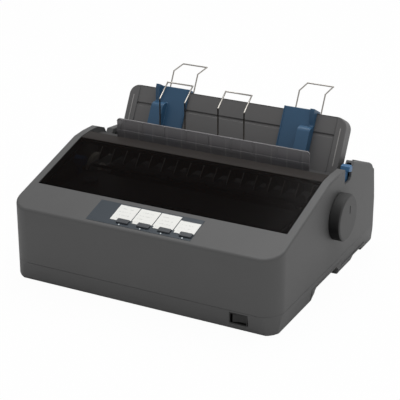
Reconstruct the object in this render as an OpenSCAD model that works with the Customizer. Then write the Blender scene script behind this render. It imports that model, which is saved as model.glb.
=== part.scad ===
// Desktop dot matrix printer: two-part case, smoked cover, upright paper guide with
// sliding edge guides and wire supports, platen with side knob, and its print mechanism.
// Origin: centre of the case footprint on the surface. +X is the right side as seen
// from the front, the front faces -Y, +Z is up. Millimetres.

/* [Case] */
// Width of the case
body_w = 348; // [340:1:356]
// Depth of the case
body_d = 302; // [298:1:306]
// Height of the vertical front face
front_h = 94.4; // [92:0.2:97]
// Slope of the deck
deck_slope = 15.5; // [15:0.1:16]
// Height of the seam between lower and upper case
seam_z = 25.5; // [24:0.5:27]
// Wall thickness of the mouldings
wall = 3; // [2.4:0.1:3.2]
// Plan radius of the front corners
front_r = 25; // [20:1:28]
// Plan radius of the rear corners
rear_r = 7; // [6.8:0.2:12]
// Width of the rim beside the cover
rim_w = 10.5; // [10:0.1:11]
// Gap between the case side and the metal side plate
frame_gap = 23; // [22:0.5:26]

/* [Cover] */
// Distance of the cover's front edge from the rear of the case
cover_back = 253; // [251:0.5:255]
// Distance of the window's rear edge from the rear of the case
window_back = 156; // [153:0.5:159]
// Thickness of the cover
cover_t = 2.5; // [2:0.1:3]
// Gap around the cover
cover_gap = 0.5; // [0.4:0.1:1]
// Radius of the cover's hinge pins
cover_pin_r = 2; // [1.5:0.1:2.4]

/* [Platen and knob] */
// Radius of the platen roller
platen_r = 16.5; // [15.5:0.1:17]
// Space between each end of the platen roller and its side plate
platen_end = 24; // [23.5:0.5:30]
// Height of the platen axis
platen_z = 84.5; // [83.5:0.1:85.5]
// Distance of the platen axis from the rear of the case
platen_back = 130; // [129:0.1:131]
// Radius of the platen shaft
shaft_r = 4; // [3.5:0.1:4.5]
// Radius of the knob
knob_r = 28.5; // [26:0.5:30]
// Thickness of the knob
knob_t = 13.4; // [12:0.2:15]

/* [Carriage] */
// Radius of the carriage rod
rod_r = 5; // [4:0.1:5.4]
// Height of the carriage rod
rod_z = 44; // [43:0.5:45]
// Distance of the carriage rod from the rear of the case
rod_back = 182; // [181.5:0.5:183]
// Distance of the parked carriage's middle from the platen's left end
carriage_park = 29; // [27:1:37]
// Width of the carriage
carriage_w = 46; // [40:1:50]
// Angle of the print head below level
head_tilt = 20; // [19:0.5:21]

/* [Ribbon cartridge] */
// Height of the cartridge lid
cart_top_z = 100; // [99:0.5:101]
// Thickness of the cartridge
cart_t = 16; // [14:0.5:16]

/* [Paper guide] */
// Space beside the paper guide at its left end
guide_left_gap = 9.2; // [6:0.2:12]
// Space beside the paper guide at its right end
guide_right_gap = 14.8; // [8:0.2:18]
// Lean of the paper guide from upright
guide_lean = 28; // [27:0.5:30]
// Height of the paper guide above its pivot plane
guide_h = 63; // [58:0.5:66]
// Depth of the paper guide tray
guide_d = 19; // [17:0.5:20]
// Corner radius of the paper guide
guide_r = 13; // [10:0.5:15]
// Width of each edge guide
edge_w = 44; // [40:1:47]
// How far the feet of the edge guides stand forward
fence_d = 12.4; // [10:0.2:14]

/* [Wire supports] */
// Radius of the steel wire
wire_r = 0.9; // [0.8:0.05:1.1]
// Width of a wire loop between its legs
wire_w = 35; // [32:0.5:38]
// Length of the leaned part of a wire loop
wire_top = 26; // [20:0.5:30]

/* [Separator] */
// Width of the clear paper separator
sep_w = 263; // [250:1:270]
// Height of its top edge
sep_top_z = 153.5; // [150:0.5:156]
// Thickness of the clear plate
sep_t = 2.5; // [2:0.1:3]

/* [Controls] */
// Width of the control label
label_w = 135.8; // [130:0.2:140]
// Width of one white tile
tile_w = 25.9; // [24:0.1:26.4]
// Pitch of the tiles and buttons
tile_pitch = 27.1; // [26.8:0.1:28]
// Width of a push button
button_w = 15.5; // [14:0.5:17]
// Length of a push button up the deck
button_l = 7; // [6:0.5:8]
// Travel of a push button
button_travel = 1.2; // [1:0.1:1.4]
// Width of the power switch
switch_w = 22.5; // [21:0.5:24]
// Height of the power switch
switch_h = 13.7; // [12.5:0.1:14]

/* [Hidden] */
$fn = 64;
eps = 0.01;
run = 0.05;
gap = 0.3;
side = body_w / 2;
front_y = -body_d / 2;
back_y = body_d / 2;
crease_in = 3.5;
// The mechanism keeps its distance from the rear of the case
mid_y = back_y - 151;
cover_front_y = back_y - cover_back;
window_back_y = back_y - window_back;
platen_y = back_y - platen_back;
rod_y = back_y - rod_back;
// Deck line: height of the sloping deck over a depth position
deck_rise = tan(deck_slope);
function deck_z(y) = front_h + (y - front_y) * deck_rise;
knee_y = mid_y - 4;
top_z = deck_z(knee_y);
open_hw = side - rim_w;
mouth_back_y = back_y - 26;
skirt_t = 2;
skirt_z = 100;
cover_hw = open_hw - cover_gap;
hinge_y = mid_y + 24;
ledge_back_y = hinge_y - 7;
hinge_z = top_z - 5.6;
rear_cut_z = 88;
rear_cut_hw = side - 24;
// Metal frame
plate_t = 1.6;
plate_in = side - frame_gap;
plate_out = plate_in + plate_t;
platen_len = 2 * (plate_in - platen_end);
carriage_x = -platen_len / 2 + carriage_park;
pan_z = 29;
plate_z0 = pan_z + plate_t;
plate_top = 100;
plate_front = mid_y - 80;
plate_back = mid_y + 60;
arm_top = 96;
arm_low = 74;
arm_back = back_y - 15;
flange_w = 10;
// Gears on the left end
gear_m = 1;
platen_teeth = 40;
idler_teeth = 31;
tractor_teeth = 30;
pinion_teeth = 12;
gear_x = -plate_out - 9.4;
gear_t = 6;
pinion_angle = -49.5;
pinion_dist = gear_m * (platen_teeth + pinion_teeth) / 2;
motor_y = platen_y + pinion_dist * cos(pinion_angle);
motor_z = platen_z + pinion_dist * sin(pinion_angle);
idler1_y = platen_y + gear_m * (platen_teeth + idler_teeth) / 2;
idler2_y = idler1_y + gear_m * idler_teeth;
tractor_y = idler2_y + gear_m * (idler_teeth + tractor_teeth) / 2;
tractor_z = platen_z;
idler_pin_r = 3;
// Belt drive
belt_y = rod_y - 25;
belt_z = pan_z + plate_t + 1.4;
belt_h = 6;
pulley_r = 8;
belt_t = 1.2;
pulley_x = -plate_in + 27;
idler_pulley_x = plate_in - 20;
pulley_pin_r = 2;
// Print head
head_w = 34;
head_tip = 20;
nose_len = 16;
head_d = 18;
head_h = 26;
// Bail
bail_r = 4;
bail_shaft_r = 2;
bail_angle = 35;
bail_dist = platen_r + bail_r + gap;
bail_y = platen_y - bail_dist * cos(bail_angle);
bail_z = platen_z + bail_dist * sin(bail_angle);
// Cartridge
cart_hw = plate_in - 5;
cart_front_y = mid_y - 92;
cart_back_y = mid_y - 22;
cart_arm_w = 18;
cart_bottom_z = cart_top_z - cart_t;
ribbon_y = platen_y - platen_r - 0.6;
ribbon_h = 12.7;
ribbon_z = platen_z - 11;
ribbon_knob_x = -cart_hw + 28;
ribbon_knob_y = mid_y - 56;
ribbon_knob_r = 9;
// Tractors
tractor_w = 18;
tractor_x = 105;
tractor_front = tractor_y - 16;
tractor_back = tractor_y + 18.5;
tractor_top = tractor_z + 12;
sprocket_r = 9;
sprocket_t = 6;
hex_r = 3;
guide_rod_r = 2.5;
guide_rod_y = tractor_y + 14.5;
guide_rod_z = tractor_z;
// Paper guide: its front plane passes through this point and leans back
guide_w = 2 * open_hw - guide_left_gap - guide_right_gap;
guide_x = (guide_left_gap - guide_right_gap) / 2;
panel_y = mid_y + 79;
panel_z = 118.5;
panel_low = -13;
panel_t = 2.5;
panel_step = 1.5;
flange_front_w = 13.7;
groove_z = 39;
groove_h = 3;
pivot_v = 9.5;
pivot_u = -6;
pivot_r = 4;
pivot_len = 3.4;
pivot_y = panel_y + pivot_v * cos(guide_lean) + pivot_u * sin(guide_lean);
pivot_z = panel_z - pivot_v * sin(guide_lean) + pivot_u * cos(guide_lean);
edge_t = 2.2;
edge_left_x = guide_x - guide_w / 2 + 41.3;
edge_right_x = guide_x + guide_w / 2 - 40.9;
// Rear wires, in the paper guide's own directions
rear_wire_v = guide_d + 2;
rear_wire_pivot_u = 45;
rear_wire_kink_u = 91;
rear_wire_left_x = -91;
rear_wire_right_x = 87.5;
rear_wire_bend = 57;
// Front wires stand behind the separator
sep_y = hinge_y + 8;
sep_x = -0.5;
bar_z = 122;
bar_h = 6;
bar_d = 9;
front_wire_y = sep_y + sep_t + 2;
front_wire_z = bar_z + bar_h + 5;
front_wire_kink_z = 187;
front_wire_left_x = -54.8;
front_wire_mid_x = 25.6;
front_wire_bend = 54;
ear_t = 2.4;
// Deck controls, measured up the deck from its front edge
label_x = -2.6;
label_v0 = 6.2;
label_v1 = 44.3;
label_t = 0.8;
panel_board_w = 164;
tile_x = -42.5;
tile_v0 = 14.5;
tile_v1 = 42.1;
tile_t = 0.4;
button_v = 14;
button_h = 2;
led_v = 8.3;
led_r = 0.9;
// Buttons sit at the right of each tile's foot, with a light mark below each
function button_x(i) = tile_x + i * tile_pitch + tile_w - button_w / 2 - 0.7;
function led_x(i) = button_x(i) - 2;
board_gap = 7;
// Power switch and rear sockets
switch_x = side - 45.8;
switch_z = 16.3;
rocker_tilt = 8;
inlet_x = 118;
inlet_z = 13.6;
inlet_w = 27;
inlet_h = 19;
port_z = pan_z + plate_t;
port_y = back_y - 8;
// Boards
board_t = 1.6;
board_x0 = -146;
board_x1 = -20;
socket_y = back_y - 21;
parallel_x = -106;
parallel_w = 58;
serial_x = -55;
serial_w = 32;
usb_x = -29;
usb_w = 12.6;
board_y0 = plate_back + 6;
psu_x0 = 30;
psu_x1 = 138;
psu_y0 = plate_back + 6;
psu_y1 = psu_y0 + 62;
psu_z0 = 28;
psu_z1 = 62;
// Feet
rail_z = 43.2;
rail_t = 1.5;
post_y = plate_front + 8;
screw_y = plate_back - 8;
foot_x = side - 24;
foot_y = back_y - 31;
foot_r = 8;
foot_t = 1.5;
// Hand grips
grip_y0 = -38;
grip_y1 = 28;
grip_h = 14.5;
grip_d = 26;
step_d = 8;
step_h = 7;
// Levers
lever_pin_y = plate_back;
lever_pin_z = 88;
lever_pin_r = 3;
lever_x = side - 7.4;
lever_t = 3;
gap_lever_x = -plate_out - 5.8;
gap_lever_y = mid_y - 14;
gap_lever_z = 64;

// ---- shared shapes ----

// Rounded rectangle with its own front and rear corner radii
module plan(inset) {
    fr = front_r - inset;
    rr = rear_r - inset;
    x = side - inset;
    y0 = front_y + inset;
    y1 = back_y - inset;
    translate([-x, y0 + fr]) square([2 * x, y1 - rr - y0 - fr]);
    translate([-x + fr, y0]) square([2 * (x - fr), fr + eps]);
    translate([-x + rr, y1 - rr - eps]) square([2 * (x - rr), rr + eps]);
    for (s = [-1, 1]) {
        translate([s * (x - fr), y0 + fr]) circle(fr);
        translate([s * (x - rr), y1 - rr]) circle(rr);
    }
}

// Rectangle with rounded upper corners, its lower edge on the axis
module arch(w, h, r) {
    translate([-w / 2, 0]) square([w, h - r]);
    translate([-w / 2 + r, h - r - eps]) square([w - 2 * r, r + eps]);
    for (s = [-1, 1])
        translate([s * (w / 2 - r), h - r]) circle(r);
}

// Rectangle rounded at all four corners, about its centre
module rounded(w, h, r) {
    square([w, h - 2 * r], center = true);
    square([w - 2 * r, h], center = true);
    for (sx = [-1, 1], sy = [-1, 1])
        translate([sx * (w / 2 - r), sy * (h / 2 - r)]) circle(r);
}

// Sweeps a side view, drawn in depth and height, across a span of X
module across(x0, x1) {
    translate([x0, 0, 0]) rotate([90, 0, 90]) linear_extrude(x1 - x0) children();
}

// Sweeps a front view, drawn in width and height, across a span of Y
module along(y0, y1) {
    translate([0, y1, 0]) rotate([90, 0, 0]) linear_extrude(y1 - y0) children();
}

// A round bar along X through a point
module bar_x(x0, x1, y, z, r) {
    translate([x0, y, z]) rotate([0, 90, 0]) cylinder(h = x1 - x0, r = r);
}

// Directions of the sloping deck: y up the deck, z out of it
module on_deck() {
    translate([0, front_y, front_h]) rotate([deck_slope, 0, 0]) children();
}

// Directions of the paper guide: z up the guide, -y out of its front
module on_guide() {
    translate([0, panel_y, panel_z]) rotate([-guide_lean, 0, 0]) children();
}

// Spur gear outline with straight-sided teeth; a tooth centre points at turn
module gear_2d(teeth, turn) {
    pitch = gear_m * teeth / 2;
    difference() {
        union() {
            circle(pitch - 1.1 * gear_m);
            for (i = [0 : teeth - 1])
                rotate(turn + i * 360 / teeth)
                    translate([pitch, 0])
                        polygon([[-1.5, -0.9], [0, -0.52], [0.8, -0.25],
                            [0.8, 0.25], [0, 0.52], [-1.5, 0.9]] * gear_m);
        }
        children();
    }
}

// ---- case ----

// Side views of the case top, right and left, lowered and drawn in by an inset
module right_profile(inset) {
    polygon([[front_y - 5, seam_z - inset * 2 - 1], [front_y - 5, deck_z(front_y - 5) - inset],
        [knee_y, top_z - inset], [mid_y + 16, top_z + 1.2 - inset],
        [mid_y + 38, top_z + 0.6 - inset], [mid_y + 52, top_z + 1.5 - inset],
        [mid_y + 62, top_z + 4 - inset], [mid_y + 67, top_z + 2.4 - inset],
        [back_y - 23, 114.6 - inset], [back_y - 17, 111 - inset], [back_y - 11.4 - inset, 103.6],
        [back_y - inset, 27], [back_y - inset, seam_z - inset * 2 - 1]]);
}

module left_profile(inset) {
    polygon([[front_y - 5, seam_z - inset * 2 - 1], [front_y - 5, deck_z(front_y - 5) - inset],
        [knee_y, top_z - inset], [mid_y + 16, top_z + 1.2 - inset],
        [mid_y + 37, top_z + 0.6 - inset], [mid_y + 53, top_z - 6 - inset],
        [mid_y + 61, 115 - inset], [mid_y + 71, 115 - inset], [mid_y + 75, 120.5 - inset],
        [back_y - 25, 114 - inset], [back_y - 17, 110 - inset], [back_y - 11.4 - inset, 103.6],
        [back_y - inset, 27], [back_y - inset, seam_z - inset * 2 - 1]]);
}

module case_form(inset) {
    intersection() {
        translate([0, 0, inset > 0 ? seam_z - 1 : seam_z]) linear_extrude(130) plan(inset);
        union() {
            across(-side - 1, eps) left_profile(inset);
            across(0, side + 1) right_profile(inset);
        }
    }
}

module lower_case() {
    boss_r = 5;
    color("#4f4f4f") difference() {
        union() {
            difference() {
                intersection() {
                    linear_extrude(seam_z) plan(0);
                    across(-side - 1, side + 1)
                        polygon([[front_y + crease_in, 0], [front_y, seam_z], [back_y, seam_z],
                            [back_y, 4], [back_y - 5, 0]]);
                    along(front_y - 1, back_y + 1)
                        polygon([[-side + crease_in, 0], [-side, seam_z], [side, seam_z],
                            [side - crease_in, 0]]);
                }
                translate([0, 0, wall]) linear_extrude(seam_z) plan(wall + crease_in);
            }
            for (s = [-1, 1])
                intersection() {
                    linear_extrude(seam_z) plan(1);
                    grip_walls(s);
                }
            for (sx = [-1, 1], y = [post_y, screw_y])
                translate([sx * (plate_in - flange_w / 2), y, wall - eps])
                    cylinder(h = pan_z - wall + eps, r = boss_r);
            for (sx = [-1, 1], sy = [-1, 1])
                translate([sx * foot_x, sy * foot_y, wall - eps])
                    cylinder(h = seam_z - wall + eps, r = boss_r);
            for (x = [board_x0 + 6, board_x1 - 6], y = [board_y0 + 8, port_y - 9])
                translate([x, y, wall - eps])
                    cylinder(h = pan_z - wall + eps, r = 3.5);
            for (x = [psu_x0 + 8, psu_x1 - 8], y = [psu_y0 + 8, psu_y1 - 8])
                translate([x, y, wall - eps])
                    cylinder(h = psu_z0 - wall + eps, r = 4);
        }
        for (s = [-1, 1])
            grip(s);
        for (sx = [-1, 1], sy = [-1, 1])
            translate([sx * foot_x, sy * foot_y, -1])
                cylinder(h = foot_t + 1, r = foot_r);
        translate([switch_x - switch_w / 2, front_y - 5, switch_z - switch_h / 2])
            cube([switch_w, 20, switch_h]);
        translate([inlet_x - inlet_w / 2, back_y - 15, inlet_z - inlet_h / 2])
            cube([inlet_w, 20, inlet_h]);
        for (i = [-5 : 5])
            translate([i * 16, -120, -1]) linear_extrude(wall + 2) rounded(4, 30, 1.9);
    }
}

// Cuts in the lower edge of one side: the hand grip, and two shallow steps behind it
module grip(s) {
    x0 = s > 0 ? side - grip_d : -side - 5;
    across(x0, x0 + grip_d + 5)
        polygon([[grip_y0 - 6, -1], [grip_y0 - 5, 4], [grip_y0, grip_h - 2],
            [grip_y0 + 4, grip_h], [grip_y1, grip_h], [grip_y1 + 6, grip_h - 5],
            [grip_y1 + 11, -1]]);
    x1 = s > 0 ? side - step_d : -side - 5;
    across(x1, x1 + step_d + 5)
        polygon([[grip_y1 + 9, -1], [grip_y1 + 14, 2], [80, 2], [84, step_h], [111, step_h],
            [118, -1]]);
}

// Walls that close the grip and the steps off from the inside
module grip_walls(s) {
    x0 = s > 0 ? side - grip_d - wall : -side;
    translate([x0, grip_y0 - 6 - wall, 0])
        cube([grip_d + wall, grip_y1 - grip_y0 + 17 + 2 * wall, grip_h + wall]);
    x1 = s > 0 ? side - step_d - wall : -side;
    translate([x1, grip_y1, 0]) cube([step_d + wall, 118 - grip_y1 + wall, step_h + wall]);
}

module upper_case() {
    color("#5b5b5b") difference() {
        union() {
            difference() {
                case_form(0);
                case_form(wall);
                // Mouth of the case from the front of the cover to behind the paper guide
                translate([-open_hw, cover_front_y, deck_z(cover_front_y) - 30])
                    cube([2 * open_hw, mouth_back_y - cover_front_y, 80]);
            }
            // Skirts down from the rims
            intersection() {
                case_form(eps);
                for (s = [-1, 1])
                    translate([s > 0 ? open_hw : -open_hw - skirt_t, cover_front_y - wall, skirt_z])
                        cube([skirt_t, mouth_back_y - 2 - cover_front_y + wall, 60]);
            }
            // Lip under the front edge of the cover
            translate([-open_hw - 1, cover_front_y - wall, deck_z(cover_front_y) - 12])
                cube([2 * open_hw + 2, wall, 9]);
            on_deck() for (s = [-1, 1])
                translate([s * 76 - 4, 24, -wall - board_gap])
                    cube([8, 8, board_gap + 1]);
        }
        // Slot in the rear wall for fan-fold paper
        translate([-rear_cut_hw, mouth_back_y - 7, rear_cut_z]) cube([2 * rear_cut_hw, 50, 60]);
        // Recess of the control label, and the buttons' openings
        on_deck() {
            translate([label_x - label_w / 2, label_v0, -label_t])
                cube([label_w, label_v1 - label_v0, 5]);
            button_holes(gap);
            for (i = [0 : 3])
                translate([led_x(i), led_v, -20]) cylinder(h = 30, r = led_r);
        }
        // Cover hinge bores
        bar_x(-open_hw - skirt_t - 1, -open_hw + 1, hinge_y, hinge_z, cover_pin_r + run);
        bar_x(open_hw - 1, open_hw + skirt_t + 1, hinge_y, hinge_z, cover_pin_r + run);
        // Knob shaft passage
        bar_x(side - 10, side + 5, platen_y, platen_z, shaft_r + 2);
        // Notch for the paper release lever
        across(open_hw - 5, side + 5)
            translate([mid_y, 0])
                polygon([[40, 117], [40, 150], [84, 150], [61, 129], [60, 120], [56, 117]]);
        // Window for the rear sockets
        translate([0, 10, 0]) socket_blocks(0.3, 25);
        // Cooling slots in the rear wall
        for (i = [0 : 11])
            translate([48 + i * 7, back_y - 21, 40]) cube([3, 30, 26]);
    }
}

module feet() {
    color("#202020") for (sx = [-1, 1], sy = [-1, 1])
        translate([sx * foot_x, sy * foot_y, 0]) cylinder(h = foot_t, r = foot_r - 0.2);
}

module case_screws() {
    color("silver") for (sx = [-1, 1], y = [post_y, screw_y])
        translate([sx * (plate_in - flange_w / 2), y, plate_z0 + plate_t]) {
            difference() {
                cylinder(h = 2.2, r = 3.4);
                translate([-0.5, -2.4, 1.4]) cube([1, 4.8, 2]);
                translate([-2.4, -0.5, 1.4]) cube([4.8, 1, 2]);
            }
        }
}

// ---- metal frame ----

module frame_pan() {
    color("#9a9c9e") difference() {
        translate([-plate_out, plate_front, pan_z])
            cube([2 * plate_out, plate_back - plate_front, plate_t]);
        for (x = [-60, 60])
            translate([x, mid_y + 22, pan_z - 1]) linear_extrude(5) rounded(90, 44, 6);
        translate([pulley_x, belt_y, pan_z - 1]) cylinder(h = 5, r = 7);
    }
    // Front rail between the side plates, under the carriage's foot
    color("#9a9c9e") translate([-plate_in, plate_front + 2, rail_z])
        cube([2 * plate_in, 17, rail_t]);
    // Fixed pin of the idler pulley
    color("silver") translate([idler_pulley_x, belt_y, plate_z0 - eps])
        cylinder(h = belt_h + 4, r = pulley_pin_r);
}

// Side plate outline in depth and height
module plate_2d() {
    difference() {
        polygon([[plate_front, plate_z0], [plate_back, plate_z0], [plate_back, arm_low],
            [arm_back, arm_low], [arm_back, arm_top], [plate_back - 18, arm_top],
            [plate_back - 22, plate_top], [plate_back - 62, plate_top], [cart_back_y + 6, cart_bottom_z],
            [cart_front_y + 22, cart_bottom_z], [plate_front, cart_bottom_z - 24]]);
        translate([rod_y, rod_z]) circle(rod_r);
        translate([bail_y, bail_z]) circle(bail_shaft_r + run);
        translate([platen_y, platen_z]) circle(shaft_r + 3);
        translate([tractor_y, tractor_z]) circle(hex_r + 1 + run);
        translate([guide_rod_y, guide_rod_z]) circle(guide_rod_r);
    }
}

module side_plate(s) {
    x0 = s > 0 ? plate_in : -plate_out;
    color("#9a9c9e") {
        across(x0, x0 + plate_t) difference() {
            plate_2d();
            if (s < 0) {
                translate([motor_y, motor_z]) circle(7);
                for (y = [idler1_y, idler2_y])
                    translate([y, platen_z]) circle(idler_pin_r);
                translate([gap_lever_y, gap_lever_z]) circle(lever_pin_r);
            }
            else
                translate([lever_pin_y, lever_pin_z]) circle(lever_pin_r);
        }
        translate([s > 0 ? plate_in - flange_w : -plate_in - eps, plate_front, plate_z0])
            cube([flange_w + eps, plate_back - plate_front, plate_t]);
    }
    color("silver") if (s < 0) {
        for (y = [idler1_y, idler2_y])
            bar_x(gear_x - 1, -plate_in, y, platen_z, idler_pin_r);
        bar_x(gap_lever_x - 1, -plate_in, gap_lever_y, gap_lever_z, lever_pin_r);
    }
    else
        bar_x(plate_in, lever_x + lever_t + 0.8, lever_pin_y, lever_pin_z, lever_pin_r);
}

module side_plate_left() {
    side_plate(-1);
}

module side_plate_right() {
    side_plate(1);
}

// ---- platen and paper feed ----

module platen_roller() {
    color("#26262a") difference() {
        bar_x(-platen_len / 2, platen_len / 2, platen_y, platen_z, platen_r);
        bar_x(-platen_len / 2 - 1, platen_len / 2 + 1, platen_y, platen_z, shaft_r);
    }
}

module platen_shaft() {
    color("silver") bar_x(gear_x - 1, side + 9, platen_y, platen_z, shaft_r);
}

module platen_bushings() {
    color("#d8d4c8") for (s = [-1, 1])
        difference() {
            union() {
                bar_x(s > 0 ? plate_in : -plate_out, s > 0 ? plate_out : -plate_in,
                    platen_y, platen_z, shaft_r + 3);
                bar_x(s > 0 ? plate_in - 2 : -plate_in, s > 0 ? plate_in : -plate_in + 2,
                    platen_y, platen_z, shaft_r + 5);
            }
            bar_x(s * plate_in - 5, s * plate_in + 5, platen_y, platen_z, shaft_r + run);
        }
}

// One gear of the train on the outside of the left side plate
module train_gear(teeth, turn, y, z, bore) {
    translate([0, y, z]) {
        across(gear_x, gear_x + gear_t) gear_2d(teeth, turn) circle(bore);
        across(gear_x + gear_t - eps, gear_x + gear_t + 1.5)
            difference() {
                circle(bore + 2.5);
                circle(bore);
            }
    }
}

module platen_gear() {
    color("#e4e0d4") train_gear(platen_teeth, 0, platen_y, platen_z, shaft_r);
}

module idler_gear_front() {
    color("#e4e0d4") train_gear(idler_teeth, 0, idler1_y, platen_z, idler_pin_r + run);
}

module idler_gear_rear() {
    color("#e4e0d4") train_gear(idler_teeth, 0, idler2_y, platen_z, idler_pin_r + run);
}

module feed_pinion() {
    color("#c8a050") translate([0, motor_y, motor_z]) {
        across(gear_x, gear_x + gear_t) gear_2d(pinion_teeth, 180 + pinion_angle) circle(1);
        bar_x(gear_x - 0.5, -plate_out + 2, 0, 0, 1);
    }
}

// Paper feed motor on the left side plate, and the carriage motor under the pan
module motors() {
    can_r = 16;
    color("#8f9194") translate([pulley_x, belt_y, 0]) difference() {
        translate([0, 0, wall + 2]) cylinder(h = pan_z - wall - 2, r = can_r + 1);
        translate([0, 0, pan_z - 6]) cylinder(h = 10, r = 1.7);
    }
    color("#8f9194") translate([0, motor_y, motor_z]) difference() {
        union() {
            bar_x(-plate_in, -plate_in + 22, 0, 0, can_r);
            translate([-plate_in, -4, -can_r - 6]) cube([1.5, 8, 2 * can_r + 12]);
        }
        bar_x(-plate_in - 1, -plate_in + 12, 0, 0, 1 + run * 4);
    }
}

// Smooth disc knob with a rounded rim and a small slot in its face
module knob() {
    x0 = side + 0.6;
    color("#5b5b5b") difference() {
        translate([x0, platen_y, platen_z]) rotate([90, 0, 90]) rotate_extrude() {
            square([knob_r, knob_t - 3]);
            square([knob_r - 3, knob_t]);
            translate([knob_r - 3, knob_t - 3]) circle(3);
        }
        bar_x(x0 - 1, side + 9, platen_y, platen_z, shaft_r);
        translate([x0 + knob_t - 1, platen_y + 3, platen_z + 4]) cube([2, 2, 10]);
    }
}

// Trough under the platen, its lip, and the ribbed chute below the paper guide
module paper_chute() {
    pan_r = platen_r + 2;
    color("#a8aaac") {
        across(-platen_len / 2, platen_len / 2) difference() {
            translate([platen_y, platen_z]) circle(pan_r + 1.2);
            translate([platen_y, platen_z]) circle(pan_r);
            translate([platen_y - 30, platen_z - 4]) square([60, 40]);
            translate([platen_y - 40, platen_z - 12]) square([30, 30]);
        }
        // Lip that runs back towards the tractors, and its supports on the pan
        across(-platen_len / 2, platen_len / 2)
            translate([platen_y + pan_r - 0.6, platen_z - 6]) square([34, 1.2]);
        for (x = [-110, 0, 110])
            translate([x - 3, platen_y - 2, plate_z0])
                cube([6, 4, platen_z - pan_r - 0.6 - plate_z0]);
        for (x = [-platen_len / 2 + 7, platen_len / 2 - 7])
            translate([x - 3, platen_y + pan_r + 22, plate_z0])
                cube([6, 4, platen_z - 5.9 - plate_z0]);
    }
    sheet_slope();
}

module bail() {
    color("silver") bar_x(-plate_out - 1, plate_out + 1, bail_y, bail_z, bail_shaft_r);
    color("#202024") for (x = [-104, -52, 0, 52, 104])
        bar_x(x - 8, x + 8, bail_y, bail_z, bail_r);
}

// Comb of ribs that leads printed paper up and out behind the cover
module exit_guide() {
    wall_y = sep_y - 2;
    low = 104;
    rib_pitch = 18;
    count = floor((open_hw - 10) / rib_pitch);
    color("#2c2a2a") {
        across(-open_hw + 3, open_hw - 3)
            polygon([[wall_y, low], [sep_y, low], [sep_y, bar_z + bar_h], [wall_y, bar_z + bar_h]]);
        for (i = [-count : count])
            across(i * rib_pitch - 0.9, i * rib_pitch + 0.9)
                polygon([[wall_y + eps, low], [wall_y - 25, low], [wall_y - 25, low + 2.5],
                    [wall_y - 8, bar_z + 4], [wall_y + eps, bar_z + 4]]);
    }
}

// ---- carriage ----

// Fixed steel rods of the carriage and of the tractors
module guide_rods() {
    color("silver") {
        bar_x(-plate_out - 1, plate_out + 1, rod_y, rod_z, rod_r);
        bar_x(-plate_out - 1, plate_out + 1, guide_rod_y, guide_rod_z, guide_rod_r);
    }
}

module carriage() {
    x0 = carriage_x - carriage_w / 2;
    shoe_z = rail_z + rail_t + gap;
    block_z = 41;
    block_front = -60;
    low_z = rod_z - rod_r - 2;
    head_near = head_tip + nose_len;
    head_far = head_near + head_d;
    color("#1c1c1e") difference() {
        union() {
            across(x0, x0 + carriage_w)
                polygon([[under_y(head_near), under_z(head_near)],
                    [under_y(head_far), under_z(head_far)], [rod_y - 10, block_z + 12],
                    [block_front, block_z + 12], [block_front, block_z], [rod_y - 9, block_z],
                    [rod_y - 9, low_z], [rod_y + 9, low_z], [rod_y + 10, rod_z + 3],
                    [under_y(head_near), under_z(head_near) - 5]]);
            // Foot that slides on the front rail
            translate([x0 + 6, plate_front + 6, shoe_z])
                cube([carriage_w - 12, block_front - plate_front - 5, 5]);
            // Clamp round the belt
            translate([carriage_x - 8, belt_y + pulley_r - 2, belt_z - 0.8])
                cube([16, belt_t + 4, block_z - belt_z + 1.8]);
        }
        bar_x(x0 - 1, x0 + carriage_w + 1, rod_y, rod_z, rod_r + run);
        translate([x0 - 1, belt_y + pulley_r - gap, belt_z - gap])
            cube([carriage_w + 2, belt_t + 2 * gap, belt_h + 2 * gap]);
    }
}

// Underside of the print head at a distance d from the platen axis
function under_y(d) = platen_y - d * cos(head_tilt) + head_h / 2 * sin(head_tilt);
function under_z(d) = platen_z - d * sin(head_tilt) - head_h / 2 * cos(head_tilt);

// Directions of the print head: y runs forward and down from the platen axis
module head_place() {
    translate([carriage_x, platen_y, platen_z]) rotate([head_tilt, 0, 0]) mirror([0, 1, 0])
        children();
}

module print_head() {
    color("#77797c") head_place() difference() {
        union() {
            translate([-3, head_tip, -3]) cube([6, nose_len + 1, 6]);
            translate([-8, head_tip + 6, -8]) cube([16, nose_len - 5, 16]);
            translate([-head_w / 2, head_tip + nose_len, -head_h / 2])
                cube([head_w, head_d, head_h]);
        }
        for (i = [0 : 4])
            translate([-head_w, head_tip + nose_len + 3 + i * 4, -head_h / 2 + 5])
                difference() {
                    cube([2 * head_w, 2, head_h]);
                    translate([head_w - 10, -1, -1]) cube([20, 4, head_h + 2]);
                }
    }
}

module belt_wheel(x, shaft_low) {
    translate([x, belt_y, 0]) {
        difference() {
            union() {
                translate([0, 0, belt_z]) cylinder(h = belt_h, r = pulley_r - gap);
                translate([0, 0, belt_z - 1.1]) cylinder(h = 0.8, r = pulley_r + 1);
                translate([0, 0, belt_z - 1]) cylinder(h = belt_h + 1.3, r = pulley_r - 1);
                translate([0, 0, belt_z + belt_h + 0.3]) cylinder(h = 0.8, r = pulley_r + 1);
            }
            translate([0, 0, belt_z - 5]) cylinder(h = belt_h + 10, r = shaft_low);
        }
    }
}

module drive_pulley() {
    color("#c8a050") {
        belt_wheel(pulley_x, 1.5);
        translate([pulley_x, belt_y, pan_z + gap]) cylinder(h = belt_h + 3, r = 1.5);
    }
}

module idler_pulley() {
    color("#d8d4c8") belt_wheel(idler_pulley_x, pulley_pin_r + run);
}

// Belt loop on its two pulleys, with the idler's fixed pin
module drive_belt() {
    color("#141414") translate([0, belt_y, belt_z]) linear_extrude(belt_h) difference() {
        loop_2d(pulley_r + belt_t);
        loop_2d(pulley_r);
    }
}

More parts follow.
